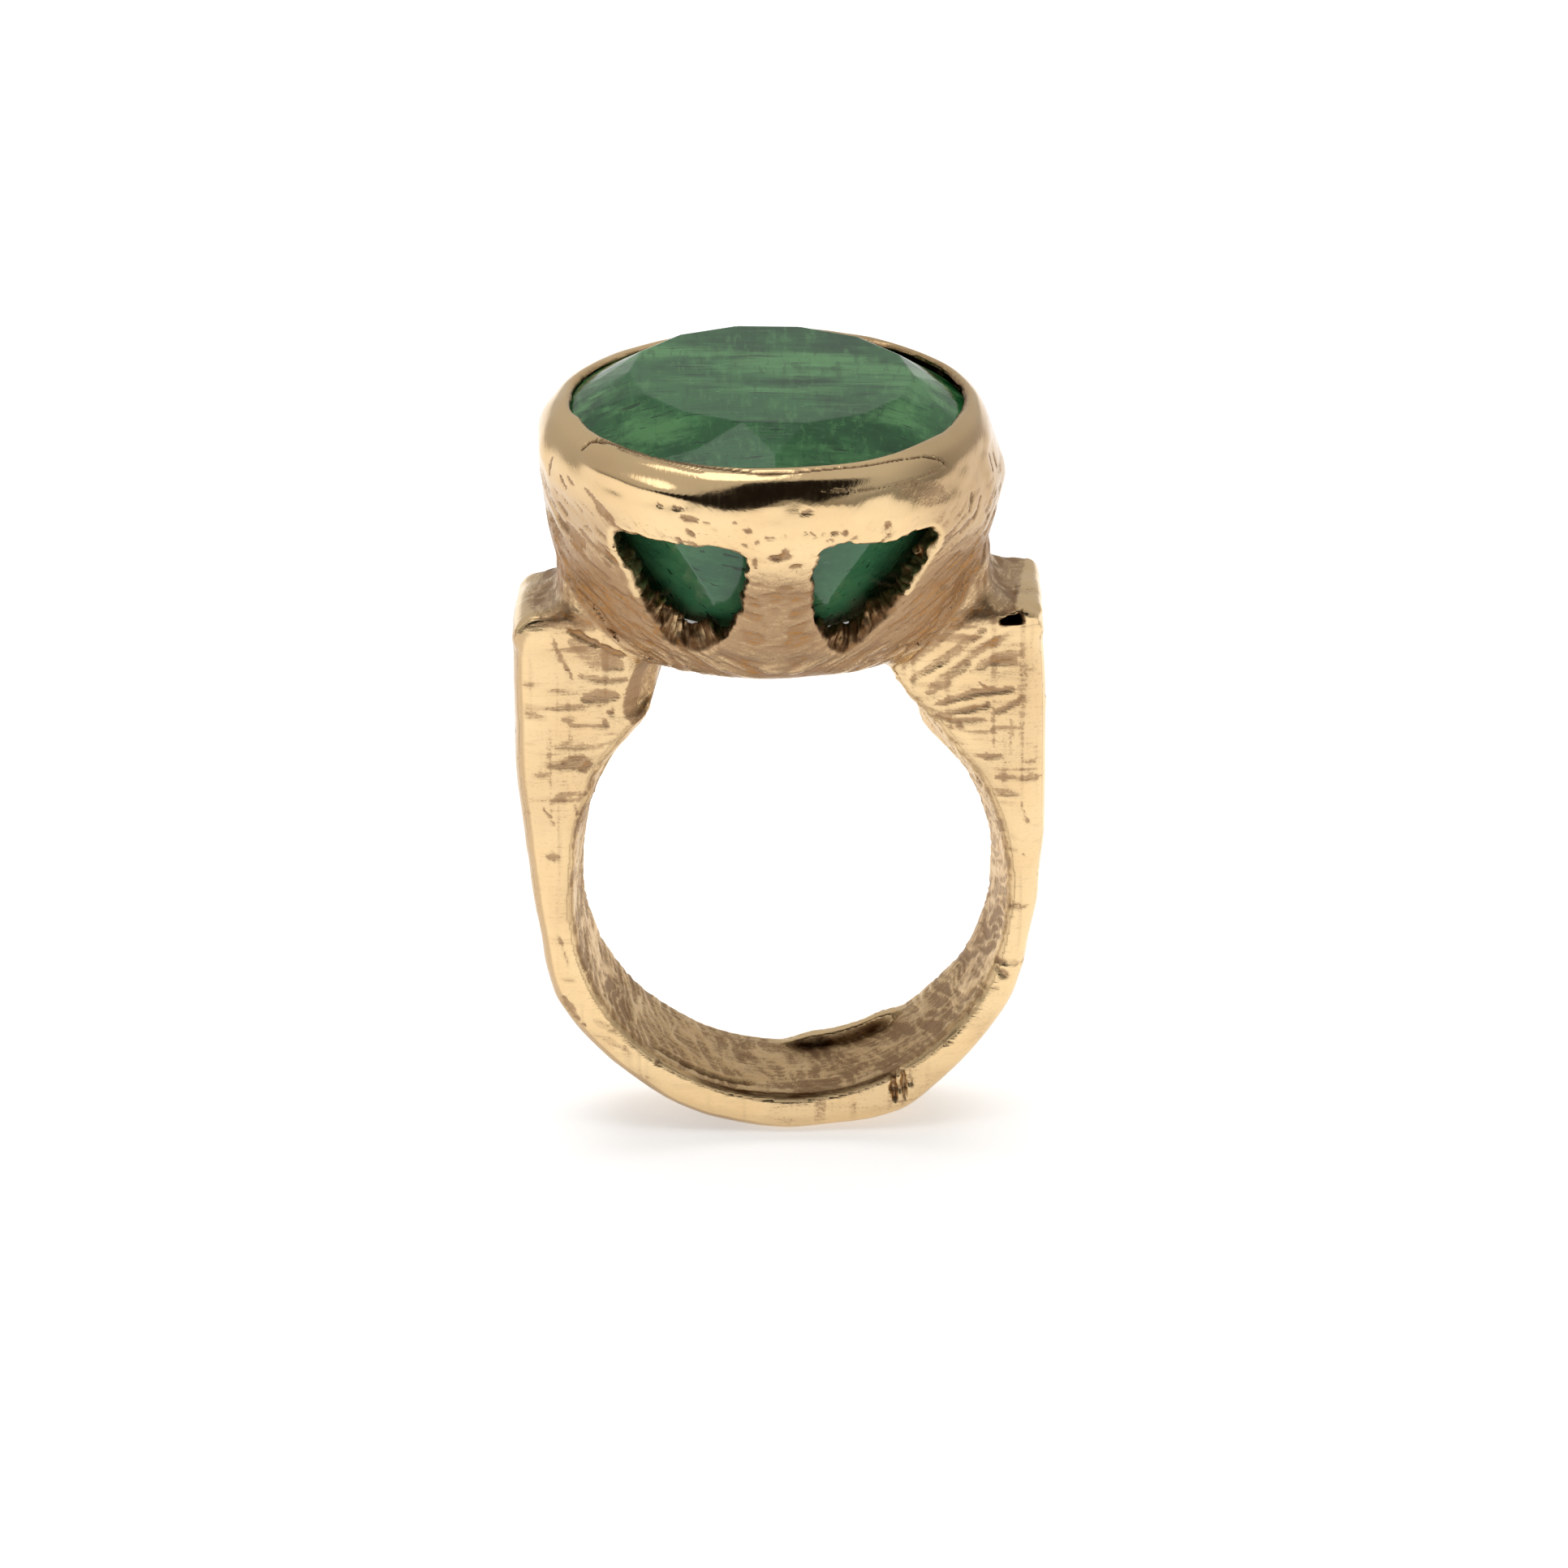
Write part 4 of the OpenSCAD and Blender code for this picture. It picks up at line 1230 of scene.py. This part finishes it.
def emerald_material():
    """Included emerald: green drawn out into hazy bands, under polished facets."""
    m, tree, shader = new_material("emerald_stone")
    mm = millimetres(tree)
    height = node(tree, "ShaderNodeSeparateXYZ")
    link(tree, mm, height.inputs[0])
    cloud = noise_map(tree, mm, 0.28, 3, 0.5)
    bands = drawn_noise(tree, mm, (0.12, 0.7, 0.9), 5, 0.6)
    silk = drawn_noise(tree, mm, (0.5, 4.5, 4), 4, 0.6)
    cross = drawn_noise(tree, mm, (3.2, 0.6, 3), 4, 0.6)
    needles = drawn_noise(tree, mm, (0.35, 6, 2), 2, 0.5)
    dust = drawn_noise(tree, mm, (2.5, 5, 5), 2, 0.5)

    deep, mid, pale = (0.006, 0.058, 0.016, 1), (0.028, 0.146, 0.042, 1), (0.11, 0.31, 0.105, 1)
    backlit_green, needle_green, dust_green = (0.07, 0.25, 0.12, 1), (0.006, 0.03, 0.012, 1), (0.3, 0.46, 0.3, 1)
    # Each layer: what shows it, where it begins and is full, its two strengths, and its colour.
    layers = [(cloud, 0.3, 0.65, 0, 1, mid), (bands, 0.45, 0.66, 0, 0.8, pale),
              (silk, 0.56, 0.75, 0, 0.35, pale), (cross, 0.52, 0.72, 0, 0.4, pale),
              (cross, 0.44, 0.36, 0, 0.4, deep),
              # Paler green low in the stone: painted light from below showing through the pavilion.
              (height.outputs[2], 17.5, 20.5, 0.65, 0, backlit_green),
              (needles, 0.645, 0.675, 0, 0.75, needle_green), (dust, 0.72, 0.77, 0, 0.3, dust_green)]
    base = deep
    for source, begin, full, weak, strong, colour in layers:
        base = mix_colour(tree, remap(tree, source, begin, full, weak, strong), base, colour)
    link(tree, base, shader.inputs["Base Color"])
    polish = {"Transmission Weight": 0.35, "Roughness": 0.1, "IOR": 1.58, "Specular IOR Level": 0.29}
    for key, value in polish.items():
        shader.inputs[key].default_value = value
    add_bump(tree, shader, silk, 0.15, 0.00004)
    return m


# ---------------------------------------------------------------- stone

STONE_L, STONE_W = 16.75, 14.85
STONE_TILT = math.radians(1.4)
TILT_Z = 21.1


def stone_points():
    """Corners of the mixed-cut stone: table, crown, girdle, bellied pavilion and keel."""
    # Share of the girdle's size, height, corners, turn in degrees, shift to the back.
    rings = [(0.7, 22.92, 14, 0, 0.4), (0.86, 22.16, 14, 12.86, 0.05), (0.985, 21.55, 48, 0, 0),
             (0.985, 21.4, 48, 0, 0), (0.93, 18.6, 16, 11.25, 0), (0.78, 15.6, 8, 22.5, 0),
             (0.63, 13.6, 16, 0, 0), (0.45, 12.35, 8, 22.5, 0)]
    out = []
    for share, z, count, start, back in rings:
        for i in range(count):
            a = math.radians(start + 360 * i / count)
            out.append((share * STONE_L / 2 * math.cos(a), share * STONE_W / 2 * math.sin(a) + back, z))
    return out + [(-1.8, 0, 11.45), (1.8, 0, 11.45)]


def build_stone(material):
    """The stone as the hull of its corners, leaned a little, with worn facet edges."""
    form = bmesh.new()
    for x, y, z in stone_points():
        height = z - TILT_Z
        form.verts.new((x * math.cos(STONE_TILT) + height * math.sin(STONE_TILT) + HEAD_X, y,
                        TILT_Z + height * math.cos(STONE_TILT) - x * math.sin(STONE_TILT)))
    bmesh.ops.convex_hull(form, input=form.verts)
    loose = [v for v in form.verts if not v.link_faces]
    bmesh.ops.delete(form, geom=loose, context="VERTS")
    bmesh.ops.dissolve_limit(form, angle_limit=math.radians(1.2), verts=form.verts, edges=form.edges)
    sharp = [e for e in form.edges if e.calc_face_angle(0) > math.radians(4)]
    bmesh.ops.bevel(form, geom=sharp, offset=0.07, segments=2, affect="EDGES", profile=0.6)
    bmesh.ops.scale(form, vec=(MM, MM, MM), verts=form.verts)
    bmesh.ops.recalc_face_normals(form, faces=form.faces)
    mesh = bpy.data.meshes.new("emerald_form")
    form.to_mesh(mesh)
    form.free()
    mesh.materials.append(material)
    return place("emerald_look", mesh)


# ---------------------------------------------------------------- studio

ELEVATION = math.radians(26)
AZIMUTH = math.radians(1.56)
DISTANCE = 0.4
LENS, SENSOR = 218.3, 36
RING_MIDDLE = (0, 0, 0.01)


def aim(obj, location, way):
    """Puts a camera or a light at a place, looking along a way."""
    obj.location = location
    obj.rotation_mode = "QUATERNION"
    obj.rotation_quaternion = way.to_track_quat("-Z", "Y")


def add_camera():
    """The camera looks down at the middle of the finger hole from the front, a little from the left."""
    forward = Vector((math.sin(AZIMUTH) * math.cos(ELEVATION), math.cos(AZIMUTH) * math.cos(ELEVATION),
                      -math.sin(ELEVATION)))
    data = bpy.data.cameras.new("camera")
    data.sensor_width = SENSOR
    data.lens = LENS
    data.shift_x, data.shift_y = -0.003, 0.061
    data.clip_start, data.clip_end = 0.01, 20
    camera = place("camera", data)
    aim(camera, -forward * DISTANCE, forward)
    bpy.context.scene.camera = camera


def add_floor():
    """A white floor under the ring, far wider than the view."""
    m, _, shader = new_material("floor_white")
    shader.inputs["Base Color"].default_value = (0.75, 0.75, 0.75, 1)
    shader.inputs["Roughness"].default_value = 0.9
    shader.inputs["Emission Color"].default_value = (1, 1, 1, 1)
    shader.inputs["Emission Strength"].default_value = 0.45
    mesh = bpy.data.meshes.new("floor_form")
    # A hair below the lowest point, so that the two surfaces don't coincide.
    reach, height = 3.0, cad_box[0].z - 0.00002
    corners = [(-reach, -reach), (reach, -reach), (reach, reach), (-reach, reach)]
    mesh.from_pydata([(x, y, height) for x, y in corners], [], [(0, 1, 2, 3)])
    mesh.materials.append(m)
    floor = place("floor", mesh)


def add_area(name, location, size, power, shown=True):
    """A white area light turned to the ring, shown in reflections or not."""
    data = bpy.data.lights.new(name, "AREA")
    data.shape = "RECTANGLE"
    data.size, data.size_y = size
    data.energy = power
    lamp = place(name, data)
    aim(lamp, location, Vector(RING_MIDDLE) - Vector(location))
    lamp.visible_glossy = shown


def add_world():
    """A pale room with a dark gap over the camera, which the gold's front reflects."""
    world = bpy.data.worlds.new("studio")
    bpy.context.scene.world = world
    world.use_nodes = True
    tree = world.node_tree
    tree.nodes.clear()
    out = tree.nodes.new("ShaderNodeOutputWorld")
    background = tree.nodes.new("ShaderNodeBackground")
    link(tree, background.outputs[0], out.inputs[0])
    way = node(tree, "ShaderNodeTexCoord").outputs["Generated"]
    axes = node(tree, "ShaderNodeSeparateXYZ")
    link(tree, way, axes.inputs[0])
    sideways = math_node(tree, "ABSOLUTE", axes.outputs[0], 0)
    # The gap is a leaning lens: higher on the right.
    height = math_node(tree, "SUBTRACT", axes.outputs[2], times(tree, axes.outputs[0], 0.4))
    height = math_node(tree, "DIVIDE", math_node(tree, "SUBTRACT", height, 0.48), 0.46)
    wide = math_node(tree, "DIVIDE", sideways, 0.78)
    reach = plus(tree, times(tree, height, height), wide)
    gap = times(tree, remap(tree, reach, 0.8, 1.05, 1, 0), remap(tree, axes.outputs[1], -0.5, -0.35, 1, 0))
    # Walls: dim at the front's horizon, paler behind and overhead.
    front_wall = times(tree, remap(tree, axes.outputs[1], -0.3, 0.5, 1, 0),
                       remap(tree, axes.outputs[2], 0.05, 0.75, 1, 0))
    base = mix_colour(tree, front_wall, (0.60, 0.59, 0.575, 1), (0.30, 0.295, 0.285, 1))
    base = mix_colour(tree, gap, base, (0.012, 0.01, 0.009, 1))
    link(tree, base, background.inputs[0])
    background.inputs[1].default_value = 1.0


# ---------------------------------------------------------------- the ring

def main():
    polished = gold_material("gold_polished", polish=0.09, grain=0.35), "polished_gold"
    worked = gold_material("gold_worked", polish=0.14, grain=1.0), "worked_gold"
    hammered = gold_material("gold_inside", polish=0.2, grain=1.0, warmth=0.2), "hammered_gold"
    finish = dict.fromkeys(PIECES, worked)
    finish.update(finger_liner=hammered, left_inner_ramp=hammered, right_inner_ramp=hammered)
    finish["bezel_collar"] = polished
    gold = build_gold({k: v[0] for k, v in finish.items()})
    for name, obj in gold.items():
        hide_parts(name)
        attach(obj, "root")
    stone = build_stone(emerald_material())
    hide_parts("emerald")
    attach(stone, "root")

    add_camera()
    add_floor()
    add_world()
    add_area("floor_fill", (0.0, 0.05, 0.35), (0.4, 0.4), 1.0, shown=False)
    add_area("top_softbox", (-0.1, 0.0, 0.6), (0.35, 0.3), 0.4)
    bpy.context.scene.view_settings.view_transform = "Standard"


main()
